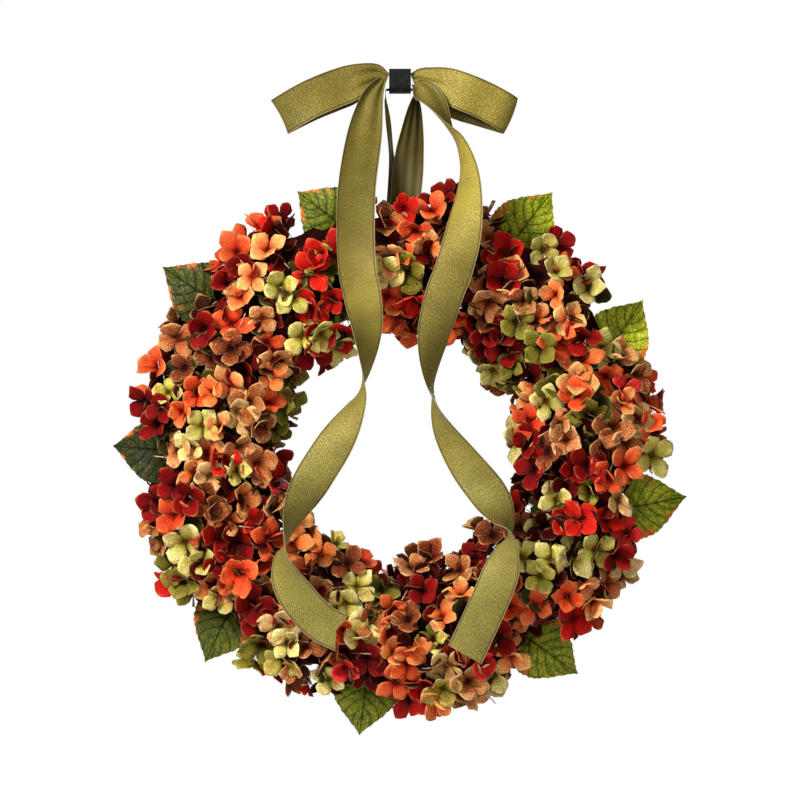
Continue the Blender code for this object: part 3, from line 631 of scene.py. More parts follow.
def pleated(centre, half, facing, columns, share, folds, curl=0.0):
    """A row of points across the ribbon, rippled where its width is gathered."""
    gather = min(1.0 / max(share, 0.2), 3.0)
    depth = 2 * half.length / (math.pi * folds) * math.sqrt(max(gather - 1.0, 0.0)) * 0.55
    row = []
    for column in range(columns):
        s = 2.0 * column / (columns - 1) - 1.0
        ripple = depth * math.cos(math.pi * folds * s + 0.6) - depth * math.cos(0.6) * 0.5
        row.append(centre + half * s + facing * (ripple + curl * (s * s - 0.33)))
    return row


def ribbon_turns(centres, halves):
    """The way each row faces, square to the ribbon's run and its width."""
    facings = []
    for place, half in enumerate(halves):
        run = centres[min(place + 1, len(centres) - 1)] - centres[max(place - 1, 0)]
        facings.append(half.cross(run).normalized())
    return facings


def loop_rows(hand, stations, sag):
    last = len(stations) - 1
    path = [(out, depth, rise, share, slope) for out, rise, share, slope, depth in stations]
    for place in range(last - 1, -1, -1):
        out, rise, share, slope, _ = stations[place]
        path.append((out, LOOP_BACK_DEPTH, rise - sag * math.sin(math.pi * place / last), share, slope))
    steps = smooth_between(path, 6)
    centres, halves = [], []
    for place, (out, depth, rise, share, slope) in enumerate(steps):
        wave = 0.0016 * math.sin(130.0 * out + hand) * min(1.0, out / 0.03)
        centres.append(Vector((hand * (BOW_SIDE_X + out), TROUGH_CENTRE.y - depth - wave, rise)))
        tilt = math.radians(slope)
        halves.append(share * RIBBON_WIDTH / 2 * Vector((hand * math.sin(tilt), 0.0, math.cos(tilt))))
    facings = ribbon_turns(centres, halves)
    return [pleated(centre, half, facing, 13, step[3], 2.5, 0.0016)
            for centre, half, facing, step in zip(centres, halves, facings, steps)]


def tail_place(hand, sideways, level, depth):
    fall = level * HANG_LENGTH if level < 1.0 else HANG_LENGTH + (level - 1.0) * TAIL_FALL
    rest_y = HEAD_FRONT_Y - TAIL_CLEARANCE
    return Vector((hand * TAIL_ROOT.x + sideways, TAIL_ROOT.y + depth * (rest_y - TAIL_ROOT.y), -fall))


def tail_rows(hand, stations, notch):
    """A falling tail, square to its run; notch pulls the cut end back at its middle and leans it."""
    steps = smooth_between(stations, 7)
    centres = [tail_place(hand, sideways, level, depth) for sideways, level, depth, _, _ in steps]
    halves = []
    for place, step in enumerate(steps):
        run = (centres[min(place + 1, len(centres) - 1)] - centres[max(place - 1, 0)]).normalized()
        across = run.cross(Vector((0.0, -1.0, 0.0))).normalized()
        outward = across.cross(run)
        twist = math.radians(step[4])
        halves.append(step[3] * RIBBON_WIDTH / 2 * (math.cos(twist) * across + math.sin(twist) * outward))
    facings = ribbon_turns(centres, halves)
    rows = [pleated(centre, half, facing, 13, step[3], 1.5, 0.0026)
            for centre, half, facing, step in zip(centres, halves, facings, steps)]
    run = (centres[-1] - centres[-2]).normalized()
    for back, row in enumerate(reversed(rows[-5:])):
        fade = (1 - back / 5) ** 1.5
        for column, point in enumerate(row):
            s = 2.0 * column / 12 - 1.0
            point -= run * (fade * (notch * (1 - abs(s)) - 0.0015 * s))
    return rows


def strand_sections(stations, face_y):
    sections = []
    for sideways, level, depth, share, twist in stations:
        turn = math.radians(twist)
        centre = Vector((sideways, TROUGH_CENTRE.y + depth * (face_y - TROUGH_CENTRE.y), -level * HANG_LENGTH))
        half = share * RIBBON_WIDTH / 2 * Vector((math.cos(turn), math.sin(turn), 0.0))
        sections.append([centre + half * (column / 6 - 1.0) for column in range(13)])
    return sections


def hanging_rows():
    """One loop: through the hook, down in front of the vines, under them and up behind."""
    def flat(centre, half):
        return [centre + half * (column / 6 - 1.0) for column in range(13)]

    side_x = HOOK_WIDTH / 2 + STRAP_OVERHANG
    radius = TROUGH_RADIUS - RIBBON_THICKNESS / 2 - 0.0003
    sections = []
    for x in (-side_x, -side_x / 2, side_x / 2, side_x):
        sections.append([TROUGH_CENTRE + Vector((x, radius * math.sin(turn), -radius * math.cos(turn)))
                         for turn in (STRAP_HALF_ANGLE * (column / 6 - 1.0) for column in range(13))])
    hang_start = TROUGH_CENTRE + Vector((0.0, 0.0, -TROUGH_RADIUS - 0.0015))
    edge_on = Vector((0.0, (TROUGH_RADIUS - RIBBON_THICKNESS) * math.sin(STRAP_HALF_ANGLE), 0.0))
    sections.append(flat(hang_start + Vector((side_x + 0.0022, 0.0, 0.0)), edge_on))
    sections += strand_sections(FRONT_STRAND, BUNDLE_Y - BELT_RADIUS)
    for step in range(9):
        side = math.pi * step / 8
        sections.append(flat(CRADLE + BELT_RADIUS * Vector((0.0, -math.cos(side), -math.sin(side))),
                             Vector((BELT_WIDTH / 2, 0.0, 0.0))))
    sections += strand_sections(BACK_STRAND, BUNDLE_Y + BELT_RADIUS)
    sections.append(flat(hang_start - Vector((side_x + 0.0022, 0.0, 0.0)), edge_on))
    columns = [smooth_between([section[column] for section in sections], 6, True) for column in range(13)]
    rows = [list(row) for row in zip(*columns)]
    facings = ribbon_turns([row[6] for row in rows], [row[12] - row[0] for row in rows])
    for row, facing in zip(rows, facings):
        half = (row[12] - row[0]) / 2
        share = 2 * half.length / RIBBON_WIDTH
        if share < 0.9 and abs(row[6].x) < 0.0142 and row[6].z < -0.012:
            flat = pleated(row[6], half, facing, 13, share + 0.04, 3)
            for column, point in enumerate(flat):
                row[column] = row[column] + point - (row[6] + half * (column / 6 - 1.0))
    return rows


class WREATH_OT_stage(bpy.types.Operator):
    """Set up the camera, the soft lights, the pale floor and the white surround"""
    bl_idname = "wreath.stage"
    bl_label = "Stage"

    def execute(self, context):
        settings = context.scene.wreath_stage
        face = Vector((0.0, -0.06, -0.320))
        lens = bpy.data.cameras.new("studio_camera")
        lens.sensor_width = 36.0
        lens.lens = 36.0 * settings.distance / settings.view_width
        lens.clip_end = 60.0
        camera = bpy.data.objects.new("studio_camera", lens)
        camera.location = face + Vector((0.0, -settings.distance, 0.0))
        camera.rotation_euler = (math.pi / 2, 0.0, 0.0)
        context.scene.collection.objects.link(camera)
        context.scene.camera = camera
        lights = (("key_light", (-1.7, -2.0, 1.2), 0.8, settings.key), ("fill_light", (0.9, -2.9, 0.3), 1.2, settings.fill),
                  ("back_light", (0.6, 2.4, 0.9), 1.6, settings.back))
        for name, place, size, power in lights:
            lamp = bpy.data.lights.new(name, "AREA")
            lamp.size, lamp.energy = size, power
            light = bpy.data.objects.new(name, lamp)
            light.location = place
            light.rotation_euler = (face - Vector(place)).to_track_quat("-Z", "Y").to_euler()
            context.scene.collection.objects.link(light)
        floor = add(bpy.ops.mesh.primitive_circle_add, "studio_floor", vertices=64, radius=2.2, fill_type="NGON",
                    location=(0.0, 0.0, -1.3))
        pot = DyePot("studio_floor", specular_ior_level=0.2)
        speck = pot.cloud(pot.place(), 3.0, 2.0)
        floor.data.materials.append(pot.finish(pot.mix(speck, (0.80, 0.79, 0.77), (0.84, 0.83, 0.81)), 0.8, speck, 0.001))
        world = bpy.data.worlds.new("white_surround")
        world.use_nodes = True
        context.scene.world = world
        nodes, links = world.node_tree.nodes, world.node_tree.links
        seen = nodes.new("ShaderNodeLightPath")
        strength = nodes.new("ShaderNodeMapRange")
        strength.inputs[3].default_value, strength.inputs[4].default_value = 0.12, 1.0
        links.new(seen.outputs["Is Camera Ray"], strength.inputs[0])
        links.new(strength.outputs[0], nodes["Background"].inputs["Strength"])
        nodes["Background"].inputs["Color"].default_value = (1.0, 1.0, 1.0, 1.0)
        context.scene.view_settings.view_transform = "Standard"
        return {"FINISHED"}


class WREATH_OT_trimmings(bpy.types.Operator):
    """Finish the hook, the ties, the flower stems, the petioles and the bow wire"""
    bl_idname = "wreath.trimmings"
    bl_label = "Hook, ties and stems"

    def execute(self, context):
        settings = context.scene.wreath_vines
        finishes = {
            "door_hook": hook_dye(), "bow_wire": wire_dye(),
            "vine_tie": stem_dye("tie_cane", settings.bark[:], settings.groove[:]),
            "hydrangea_stem": stem_dye("dry_stem", tone(128, 104, 56), tone(70, 50, 24)),
            "leaf_petiole": stem_dye("leaf_stalk", tone(96, 104, 44), tone(60, 52, 22)),
        }
        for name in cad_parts:
            for start, finish in finishes.items():
                if name.startswith(start):
                    node = bpy.data.objects[name]
                    if not node.material_slots:
                        node.data.materials.append(None)
                    for slot in node.material_slots:
                        slot.material = finish
        return {"FINISHED"}


class WREATH_OT_ribbons(bpy.types.Operator):
    """Lay the hanging ribbon, the two bow loops and the two tails"""
    bl_idname = "wreath.ribbons"
    bl_label = "Ribbons"

    def execute(self, context):
        settings = context.scene.wreath_ribbon
        cloth = ribbon_dye(settings)
        # The last entry of each length is painted sheen and shade along its run: the hanging strand and the left loop
        # darker, the right loop and bands on the tails brighter
        lengths = (
            ("hanging_ribbon", hanging_rows(), True, "ribbon_hanger", "hung", ["door_hook"], 
             ((0, 0.36), (0.45, 0.36), (0.6, 0.7), (1, 0.9))),
            ("left_bow_loop", loop_rows(-1, LEFT_LOOP, LEFT_LOOP_SAG), False, "left_bow_loop", "folded", ["bow_knot"],
             ((0, 0.95), (0.2, 1.05), (0.35, 0.9), (0.5, 0.7), (1, 0.6))),
            ("right_bow_loop", loop_rows(1, RIGHT_LOOP, RIGHT_LOOP_SAG), False, "right_bow_loop", "folded", ["bow_knot"],
             ((0, 0.95), (0.15, 1.35), (0.4, 1.55), (0.5, 1.3), (0.56, 0.6), (1, 0.5))),
            ("left_ribbon_tail", tail_rows(-1, LEFT_TAIL, 0.007), False, "left_ribbon_tail", "hung", ["bow_knot"],
             ((0, 0.75), (0.15, 0.8), (0.29, 0.74), (0.40, 1.35), (0.5, 1.25), (0.66, 1.0), (1, 1.0))),
            ("right_ribbon_tail", tail_rows(1, RIGHT_TAIL, 0.0), False, "right_ribbon_tail", "hung", ["bow_knot"],
             ((0, 0.8), (0.08, 1.0), (0.15, 1.75), (0.25, 1.65), (0.36, 0.95), (0.6, 1.0), (0.8, 1.05), (1, 0.93))),
        )
        for node, rows, closed, body, held, rests_on, nap in lengths:
            piece, run = lay_ribbon(f"{node}_cloth", rows, settings, nap, closed)
            dress(piece, cloth, body, "ribbon", node)
            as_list(rests_on)

        columns, rings = 33, 14
        rows = []
        middle = TROUGH_CENTRE + Vector((0.0, 0.0, KNOT_LIFT))
        for ring in range(rings + 1):
            s = 2.0 * ring / rings - 1.0
            waist = 0.70 + 0.26 * min(1.0, abs(s) * 1.5) ** 1.5
            row = []
            for column in range(columns):
                turn = 2 * math.pi * column / (columns - 1)
                pleat = 1 - 0.09 * (0.5 + 0.5 * math.cos(7 * turn + 0.6 * math.sin(3 * s)))
                row.append(middle + Vector((s * (KNOT_HALF_LENGTH - 0.0014), waist * pleat * KNOT_HALF_DEPTH * math.sin(turn),
                                            waist * pleat * KNOT_HALF_HEIGHT * math.cos(turn))))
            rows.append(row)
        # The gathered knot is darkened evenly as painted shade
        knot, _ = lay_ribbon("bow_knot_gather", rows, settings, ((0, 0.8), (1, 0.8)), True)
        dress(knot, cloth, "ribbon_hanger", "ribbon", "bow_knot")
        return {"FINISHED"}


class WREATH_OT_vines(bpy.types.Operator):
    """Twist the grapevine strands and give them their ridged bark"""
    bl_idname = "wreath.vines"
    bl_label = "Grapevine ring"

    def execute(self, context):
        settings = context.scene.wreath_vines
        bark = bark_dye(settings)
        around_steps, sides = 240, 15
        for strand in range(VINE_COUNT):
            name = f"grapevine_strand_{strand + 1}"
            piece = add(bpy.ops.mesh.primitive_torus_add, f"{name}_bark", major_segments=around_steps,
                        minor_segments=sides, major_radius=1.0, minor_radius=0.25, generate_uvs=True)
            piece.data.uv_layers[0].name = "bark"
            centres = []
            for step in range(around_steps):
                angle = HEAD_FIRST + 2 * math.pi * step / around_steps
                side = math.pi * (2 * strand + 1) / VINE_COUNT + VINE_TURNS * (angle - HEAD_FIRST)
                centres.append(bundle_point(angle, side, VINE_CIRCLE))
            frames = []
            for step, centre in enumerate(centres):
                run = (centres[(step + 1) % around_steps] - centres[step - 1]).normalized()
                across = run.cross(Vector((0.0, -1.0, 0.0))).normalized()
                frames.append((centre, across, across.cross(run)))
            for vertex in piece.data.vertices:
                flat = math.hypot(vertex.co.x, vertex.co.y)
                angle = math.atan2(vertex.co.y, vertex.co.x) % (2 * math.pi)
                turn = math.atan2(vertex.co.z, flat - 1.0)
                step = round(angle / (2 * math.pi) * around_steps) % around_steps
                centre, across, outward = frames[step]
                ridge = math.sin(settings.ridges * turn + 2.0 * noise.noise(Vector((3 * math.cos(angle), 3 * math.sin(angle), strand))))
                knob = noise.noise(Vector((14 * math.cos(angle), 14 * math.sin(angle), strand * 5 + turn * 0.3)))
                radius = VINE_RADIUS * min(1.04, 0.93 + 0.07 * ridge + 0.10 * knob)
                vertex.co = centre + radius * (math.cos(turn) * across + math.sin(turn) * outward)
            clean(piece)
            bpy.ops.object.shade_smooth()
            dress(piece, bark, "flower_ring", "grapevine_bark", name)
        return {"FINISHED"}


BLADE = ((0.0, 0.0), (0.05, 0.46), (0.15, 0.82), (0.30, 0.99), (0.45, 1.0), (0.60, 0.87), (0.72, 0.62), (0.82, 0.37),
         (0.89, 0.19), (0.95, 0.07), (1.0, 0.0))


def blade_share(v):
    """A leaf's width at v along it, as a share of its widest."""
    for (start, low), (end, high) in zip(BLADE, BLADE[1:]):
        if v <= end:
            return low + (high - low) * (v - start) / (end - start)
    return 0.0


def leaf_axis(number):
    """Where leaf `number` starts, and where its tip ends."""
    lean_deg, overhang = LEAVES[number - 1]
    angle = HEAD_FIRST + (number - 0.5) * SECTOR
    side = math.radians(120.0)
    root, end = bundle_point(angle, side, 0.009), bundle_point(angle, side, BUNDLE_RADIUS + 0.0054)
    base = end + (end - root).normalized() * 0.0018
    tip = around(angle + math.radians(lean_deg), RING_RADIUS + HEAD_RADIAL + overhang, base.y - LEAF_TIP_FORWARD)
    return base, tip


def over_a_leaf(point):
    """Whether a floret here would hide the part of a leaf that shows between two heads."""
    for number in range(1, HEAD_COUNT + 1):
        base, tip = leaf_axis(number)
        run = Vector((tip.x - base.x, tip.z - base.z))
        off = Vector((point.x - base.x, point.z - base.z))
        v = off.dot(run) / run.length_squared
        margin = 0.002 + 0.010 * min(1.0, max(0.0, (v - 0.35) / 0.3))
        if 0.22 < v < 1.2 and abs(off.x * run.y - off.y * run.x) / run.length < 0.031 * max(0.55, blade_share(v)) + margin:
            return True
    return False


class WREATH_OT_leaves(bpy.types.Operator):
    """Shape nine toothed, veined leaves in the valleys between the flower heads"""
    bl_idname = "wreath.leaves"
    bl_label = "Leaves"

    def execute(self, context):
        settings = context.scene.wreath_leaves
        green = leaf_dye(settings)
        # Painted light for each leaf: 0 gives the shaded green, 1 the sunlit green
        painted_light_shares = (0.85, 0.9, 0.6, 0.48, 0.38, 0.14, 0.0, 0.05, 0.25)
        for number in range(1, HEAD_COUNT + 1):
            base, tip = leaf_axis(number)
            along = (tip - base).normalized()
            across = along.cross(Vector((0.0, -1.0, 0.0))).normalized()
            facing = -across.cross(along)
            size = (tip - base).length
            if facing.y > 0:
                facing = -facing
            piece = add(bpy.ops.mesh.primitive_grid_add, f"wreath_leaf_{number}_blade", x_subdivisions=16,
                        y_subdivisions=36, size=2.0, calc_uvs=True)
            mesh = piece.data
            mesh.uv_layers[0].name = "blade"
            age = mesh.attributes.new("age", "FLOAT", "POINT")
            for vertex in mesh.vertices:
                s, v = vertex.co.x, (vertex.co.y + 1) / 2
                full = blade_share(v)
                tooth = 0.06 * ((v * 15) % 1.0) * (1 if abs(s) > 0.93 else 0) * min(1.0, 6 * (1 - v))
                half = settings.width / 2 * (full + tooth) * 1.03
                vein = abs(math.sin((v * 8.0 - abs(s) * 2.1) * math.pi))
                lift = (0.021 * math.sin(math.pi * min(1.0, v * 1.03)) ** 0.8 + 0.004 * abs(s) ** 1.4 * full
                        + 0.0016 * vein * (1 - abs(s) ** 4) * full
                        + 0.0025 * math.sin(5.0 * v + 2.3 * number) * s * full - 0.0012 * math.exp(-(s / 0.08) ** 2) * min(1.0, 3.0 * full))
                vertex.co = base + along * (v * size) + across * (s * half) + facing * (lift + 0.0006)
                age.data[vertex.index].value = painted_light_shares[number - 1]
            clean(piece, 0.00001, False)
            apply_modifier(piece, "SOLIDIFY", thickness=0.0004, offset=0.0)
            clean(piece)
            bpy.ops.object.shade_smooth_by_angle(angle=math.radians(60))
            dress(piece, green, "flower_ring", "leaf", f"wreath_leaf_{number}")
        return {"FINISHED"}


def envelope(angle, side, share=1.0):
    """A point on the flower mass at a clock angle; side 0 is its front and 90 degrees its outside."""
    seam = abs(((angle - HEAD_FIRST) / SECTOR + 0.5) % 1.0 - 0.5)
    valley = 1.0 - 0.22 * max(0.0, seam - 0.25) / 0.25
    radial = 0.0735 * share * valley
    depth = 0.0525 * share * (valley * 0.5 + 0.5)
    return around(angle, RING_RADIUS + radial * math.sin(side), HEAD_Y - depth * math.cos(side))


def envelope_normal(angle, side):
    out = Vector((math.sin(angle), 0.0, math.cos(angle)))
    return (out * (math.sin(side) / 0.0735) + Vector((0.0, -1.0, 0.0)) * (math.cos(side) / 0.0525)).normalized()


def make_petal():
    """A petal's grid with its thickness, as points and faces; turned over, as add_floret lays it out mirrored."""
    piece = add(bpy.ops.mesh.primitive_grid_add, "petal_pattern", x_subdivisions=4, y_subdivisions=4, size=2.0,
                calc_uvs=True)
    apply_modifier(piece, "SOLIDIFY", thickness=0.02, offset=0.0)
    mesh = piece.data
    points = [(v.co.x, (v.co.y + 1) / 2, v.co.z) for v in mesh.vertices]
    faces = [tuple(reversed(face.vertices)) for face in mesh.polygons]
    bpy.data.objects.remove(piece)
    return points, faces


def make_small(primitive, **sizes):
    piece = add(primitive, "small_pattern", **sizes)
    points, faces = [v.co.copy() for v in piece.data.vertices], [tuple(f.vertices) for f in piece.data.polygons]
    bpy.data.objects.remove(piece)
    return points, faces


# A petal's outline in rows from its foot to its tip: half width, place along it, and how far its sides fall back
WIDTH_AT = (0.13, 0.60, 0.95, 0.97, 0.50)
PLACE_AT = (0.03, 0.27, 0.54, 0.80, 1.0)
ROUND_AT = (0.0, 0.0, 0.02, 0.05, 0.07)


class Cluster:
    """The growing mesh of one flower head."""

    def __init__(self):
        self.points, self.faces, self.kinds, self.spots, self.colours = [], [], [], [], []

    def add(self, points, faces, kind, spots, colour):
        start = len(self.points)
        points = [Vector((p.x, min(p.y, -0.004), p.z)) for p in points]
        self.points += points
        self.faces += [tuple(start + index for index in face) for face in faces]
        self.kinds += [kind] * len(faces)
        self.spots += spots
        self.colours += colour if isinstance(colour, list) else [(*colour, 1.0)] * len(points)

    def piece(self, name, materials):
        mesh = bpy.data.meshes.new(name)
        mesh.from_pydata(self.points, [], self.faces)
        for material in materials:
            mesh.materials.append(material)
        mesh.polygons.foreach_set("material_index", self.kinds)
        uv = mesh.uv_layers.new(name="petal")
        for loop in mesh.loops:
            uv.data[loop.index].uv = self.spots[loop.vertex_index]
        bloom = mesh.attributes.new("bloom", "FLOAT_COLOR", "POINT")
        bloom.data.foreach_set("color", [c for colour in self.colours for c in colour])
        mesh.polygons.foreach_set("use_smooth", [True] * len(mesh.polygons))
        mesh.update()
        made = bpy.data.objects.new(name, mesh)
        bpy.context.scene.collection.objects.link(made)
        return made


def add_floret(cluster, patterns, chance, eye, facing, colour, netted, size, open_deg):
    """Four petals, an eye and a stalk, each petal a little different, as dried florets are."""
    petal_points, petal_faces = patterns["petal"]
    side = facing.orthogonal().normalized()
    turn = Matrix.Rotation(chance.uniform(0, 2 * math.pi), 3, facing)
    side = turn @ side
    third = facing.cross(side)
    shade, paleness = chance.uniform(0.80, 1.12), chance.uniform(0.35, 1.0)
    floret_open = math.radians(open_deg)
    for petal in range(4):
        swing = math.pi / 2 * petal + chance.uniform(-0.13, 0.13)
        out = side * math.cos(swing) + third * math.sin(swing)
        over = facing.cross(out)
        lift = floret_open + math.radians(chance.uniform(-14, 16)) + (math.radians(chance.uniform(25, 55))
                                                                      if chance.random() < 0.13 else 0.0)
        up = facing * math.cos(lift) - out * math.sin(lift)
        out = out * math.cos(lift) + facing * math.sin(lift)
        reach, wide = size * chance.uniform(0.88, 1.14), size * chance.uniform(0.37, 0.49)
        point = chance.uniform(-0.02, 0.12)
        cup, curl, wave = chance.uniform(-0.02, 0.24), chance.uniform(-0.22, 0.16), chance.uniform(-0.07, 0.07)
        phase = chance.uniform(0, 6.28)
        start = eye + facing * (0.0006 * (petal % 2))
        petal_shade = shade * chance.uniform(0.88, 1.1)
        points, spots, colours = [], [], []
        for s, v, z in petal_points:
            row = round(v * 4)
            y = PLACE_AT[row] - ROUND_AT[row] * s * s + point * (1 - abs(s)) * v ** 4
            x = s * WIDTH_AT[row]
            rise = cup * x * x * v + curl * v * v + wave * math.sin(3.0 * s + phase) * v + z
            points.append(start + out * (y * reach) + over * (x * wide) + up * (rise * size))
            spots.append(((s + 1) / 2, v))
            # Deep tone at the eye to pale tone at the tip: partly the petal's own colour, partly painted shade and
            # painted highlight
            pale = min(1.0, max(0.0, v * 1.3 - 0.22 + 0.3 * abs(s) * v)) * paleness
            colours.append((*(min(1.0, petal_shade * (deep * (1 - pale) + light * pale))
                              for deep, light in zip(*colour)), netted))
        cluster.add(points, petal_faces, 0, spots, colours)
    bead_points, bead_faces = patterns["bead"]
    cluster.add([eye + facing * 0.0010 + p * 0.0012 for p in bead_points], bead_faces, 0, [(0.5, 0.5)] * len(bead_points),
                tuple(0.4 * c for c in colour[0]))
    stalk_points, stalk_faces = patterns["stalk"]
    heart = around(math.atan2(eye.x, eye.z - RING_CENTRE_Z), RING_RADIUS, HEAD_Y)
    down = (heart - eye).normalized() * 0.6 - facing * 0.4
    down.normalize()
    lean = down.orthogonal().normalized()
    other = down.cross(lean)
    run = min(0.03, (heart - eye).length * 0.7)
    cluster.add([eye + lean * (p.x * 0.0005) + other * (p.y * 0.0005) + down * ((0.5 + p.z) * run) for p in stalk_points],
                stalk_faces, 1, [(0.5, 0.5)] * len(stalk_points), (0.3, 0.2, 0.15))


def scatter(chance, tries, gap, sides, share, started=()):
    """Points on the flower mass, each at least `gap` from the others; the started ones are kept first."""
    kept, grid = [], {}

    def cell(point):
        return tuple(int(math.floor(c / gap)) for c in point)

    def near(point):
        cx, cy, cz = cell(point)
        return any((point - other).length < gap for dx in (-1, 0, 1) for dy in (-1, 0, 1) for dz in (-1, 0, 1)
                   for other in grid.get((cx + dx, cy + dy, cz + dz), ()))

    for angle, side, colour in started:
        point = envelope(angle, side, share)
        kept.append((angle, side, point, colour))
        grid.setdefault(cell(point), []).append(point)
    for _ in range(tries):
        angle, side = chance.uniform(0, 2 * math.pi), math.radians(chance.uniform(*sides))
        if chance.random() > (RING_RADIUS + 0.0735 * math.sin(side)) / 0.27:
            continue
        point = envelope(angle, side, share)
        if not near(point):
            kept.append((angle, side, point, None))
            grid.setdefault(cell(point), []).append(point)
    return kept


def ribbon_in_the_way(point, reach):
    """Where the hanging ribbon runs down through the top head."""
    return abs(point.x) < 0.020 + reach and point.z > -0.185 and point.y > -0.066 - reach


def gap_to_tails(point, tails):
    """How near a floret here comes to a ribbon tail as the ring tilts about its cradle."""
    nearest = 1.0
    for tilt in (-8, 0, 8):
        swung = CRADLE + Matrix.Rotation(math.radians(tilt), 3, "Y") @ (point - CRADLE)
        nearest = min(nearest, min((swung - other).length for other in tails))
    return nearest


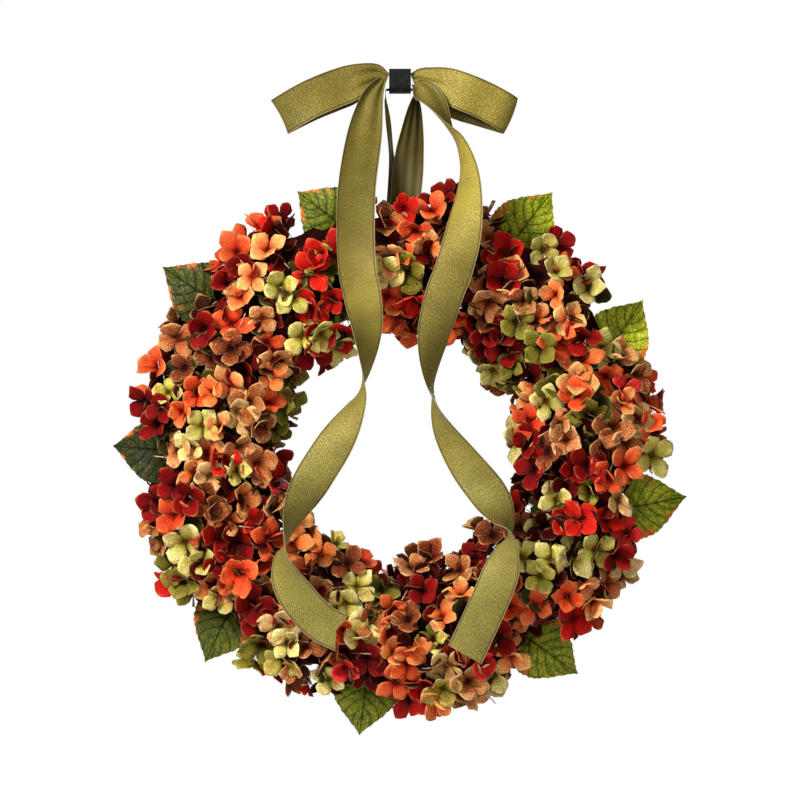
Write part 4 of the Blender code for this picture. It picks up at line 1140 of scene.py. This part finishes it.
class WREATH_OT_heads(bpy.types.Operator):
    """Gather the dried hydrangea heads from single florets over a heart of stalks painted near-black as the shade
    inside each head
    """
    bl_idname = "wreath.heads"
    bl_label = "Hydrangea heads"

    def execute(self, context):
        settings = context.scene.wreath_flowers
        chance = random.Random(settings.seed)
        patterns = {
            "petal": make_petal(),
            "bead": make_small(bpy.ops.mesh.primitive_ico_sphere_add, subdivisions=1, radius=1.0),
            "stalk": make_small(bpy.ops.mesh.primitive_cone_add, vertices=4, radius1=1.0, radius2=1.0, depth=1.0),
        }
        tails = [row[column] for hand, stations, notch in ((-1, LEFT_TAIL, 0.007), (1, RIGHT_TAIL, 0.0))
                 for row in tail_rows(hand, stations, notch)[::2] for column in (0, 6, 12)]
        placed = []
        for colour, spots in BLOOMS.items():
            for clock, across in spots:
                placed.append((math.radians(clock), math.asin(max(-0.97, min(0.97, across))), colour))
        outer = scatter(chance, 14000, settings.spacing, (-132, 132), 1.0, placed)
        inner = scatter(chance, 8000, settings.inner_spacing, (-125, 125), 0.78)

        def nearest_colour(point):
            best, found = 1.0, "coral"
            for angle, side, colour in placed:
                gap = (envelope(angle, side) - point).length * (1.35 if colour in ("lime", "cream") else 1.0)
                if gap < best:
                    best, found = gap, colour
            return found

        clusters = [Cluster() for _ in range(HEAD_COUNT)]

        def head_of(angle):
            return round((angle - HEAD_FIRST) / SECTOR) % HEAD_COUNT

        for angle, side, point, colour in outer:
            if ribbon_in_the_way(point, 0.012) or point.y > -0.018 or colour is None and over_a_leaf(point):
                continue
            gap = gap_to_tails(point, tails)
            if gap < 0.0165:
                continue
            normal = envelope_normal(angle, side)
            shown = colour is not None
            lean = Vector([chance.gauss(0, 0.24 if shown else 0.5) for _ in range(3)])
            facing = (normal + lean + Vector((0, -0.55 if shown else -0.15, 0))).normalized()
            sink = chance.uniform(0.0, 0.008) if shown else chance.uniform(0.001, 0.016)
            eye = point - normal * (sink + 0.75 * max(0.0, 0.028 - gap))
            hue = colour or nearest_colour(point)
            if colour is None and chance.random() < 0.42:
                hue = chance.choice(("crimson", "crimson", "red", "coral", "red", "brown", "tan"))
            # Painted shade: florets sunk deeper into the head are darkened
            painted_depth_shade = 1.06 - (14.0 if shown else 30.0) * sink
            add_floret(clusters[head_of(angle)], patterns, chance, eye, facing,
                       [[c * painted_depth_shade for c in half] for half in PETAL_TONES[hue]], NETTED[hue],
                       settings.petal_length * chance.uniform(0.80, 1.12), chance.uniform(4, 36))
        for angle, side, point, _ in inner:
            if ribbon_in_the_way(point, 0.016) or over_a_leaf(point):
                continue
            facing = (envelope_normal(angle, side) + Vector([chance.gauss(0, 0.4) for _ in range(3)])).normalized()
            hue = chance.choice(("crimson", "crimson", "brown", "red", "red", "olive", "crimson"))
            # Painted shade: the inner layer's florets are darkened to about a fifth of their tones
            add_floret(clusters[head_of(angle)], patterns, chance, point, facing,
                       [[0.21 * c for c in half] for half in PETAL_TONES[hue]], NETTED[hue], settings.petal_length,
                       chance.uniform(0, 30))

        for angle, side, point, _ in scatter(chance, 900, 0.03, (-95, 95), 0.985):
            if ribbon_in_the_way(point, 0.03) or over_a_leaf(point):
                continue
            normal = envelope_normal(angle, side)
            run = (normal.orthogonal().normalized() * chance.uniform(-1, 1) + normal.cross(normal.orthogonal()).normalized()
                   * chance.uniform(-1, 1) + normal * chance.uniform(-0.1, 0.5)).normalized()
            wide = run.cross(normal).normalized()
            thick, reach = chance.uniform(0.00035, 0.0006), chance.uniform(0.014, 0.026)
            foot = point - normal * 0.006
            points, faces = patterns["stalk"]
            clusters[head_of(angle)].add(
                [foot + run * ((p.z + 0.5) * reach) + wide * (p.x * thick) + run.cross(wide) * (p.y * thick) for p in points],
                faces, 1, [(0.5, 0.5)] * len(points), (0.3, 0.2, 0.15))

        # A lump in each head, painted near-black as the shade between and behind the florets
        for number in range(HEAD_COUNT):
            middle = HEAD_FIRST + number * SECTOR
            points, faces = make_small(bpy.ops.mesh.primitive_ico_sphere_add, subdivisions=4, radius=1.0)
            out = Vector((math.sin(middle), 0.0, math.cos(middle)))
            along = Vector((math.cos(middle), 0.0, -math.sin(middle)))
            centre = around(middle, RING_RADIUS, HEAD_Y - 0.016)
            lumps = []
            for p in points:
                rough = 1.0 + 0.16 * noise.noise(p * 4.0 + Vector((number, 0, 0)))
                spot = centre + along * (p.x * 0.074 * rough) + out * (p.y * 0.047 * rough) + Vector((0, p.z * 0.026 * rough, 0))
                if ribbon_in_the_way(spot, 0.008):
                    spot.y = -0.074 - 0.004 * rough
                lumps.append(spot)
            clusters[number].add(lumps, [tuple(reversed(face)) for face in faces], 2, [(0.5, 0.5)] * len(lumps),
                                 (0.02, 0.01, 0.01))

        materials = (petal_dye(settings), stalk_dye(settings.stalk[:]), painted_shade_heart_dye())
        for number, cluster in enumerate(clusters, start=1):
            piece = cluster.piece(f"hydrangea_head_{number}_florets", materials)
            dress(piece, None, "flower_ring", "dried_petals", f"hydrangea_head_{number}")
        return {"FINISHED"}


STEPS = (WREATH_OT_stage, WREATH_OT_trimmings, WREATH_OT_ribbons, WREATH_OT_vines, WREATH_OT_leaves, WREATH_OT_heads)


class WREATH_PT_panel(bpy.types.Panel):
    bl_idname = "WREATH_PT_panel"
    bl_label = "Door wreath"
    bl_space_type = "VIEW_3D"
    bl_region_type = "UI"
    bl_category = "Wreath"

    def draw(self, context):
        for step in STEPS:
            self.layout.operator(step.bl_idname)
        for group in GROUPS:
            box = self.layout.box()
            settings = getattr(context.scene, group)
            for name in settings.bl_rna.properties.keys():
                if name not in ("rna_type", "name"):
                    box.prop(settings, name)


GROUPS = {"wreath_stage": WreathStageSettings, "wreath_ribbon": WreathRibbonSettings, "wreath_vines": WreathVineSettings,
          "wreath_leaves": WreathLeafSettings, "wreath_flowers": WreathFlowerSettings}


def register():
    for group in GROUPS.values():
        bpy.utils.register_class(group)
    for step in (*STEPS, WREATH_PT_panel):
        bpy.utils.register_class(step)
    for name, group in GROUPS.items():
        setattr(bpy.types.Scene, name, PointerProperty(type=group))


def unregister():
    for name in GROUPS:
        delattr(bpy.types.Scene, name)
    for step in (WREATH_PT_panel, *reversed(STEPS)):
        bpy.utils.unregister_class(step)
    for group in GROUPS.values():
        bpy.utils.unregister_class(group)


def main():
    register()
    bpy.ops.wreath.stage()
    bpy.ops.wreath.trimmings()
    bpy.ops.wreath.ribbons()
    bpy.ops.wreath.vines()
    bpy.ops.wreath.leaves()
    bpy.ops.wreath.heads()


if __name__ == "__main__":
    main()
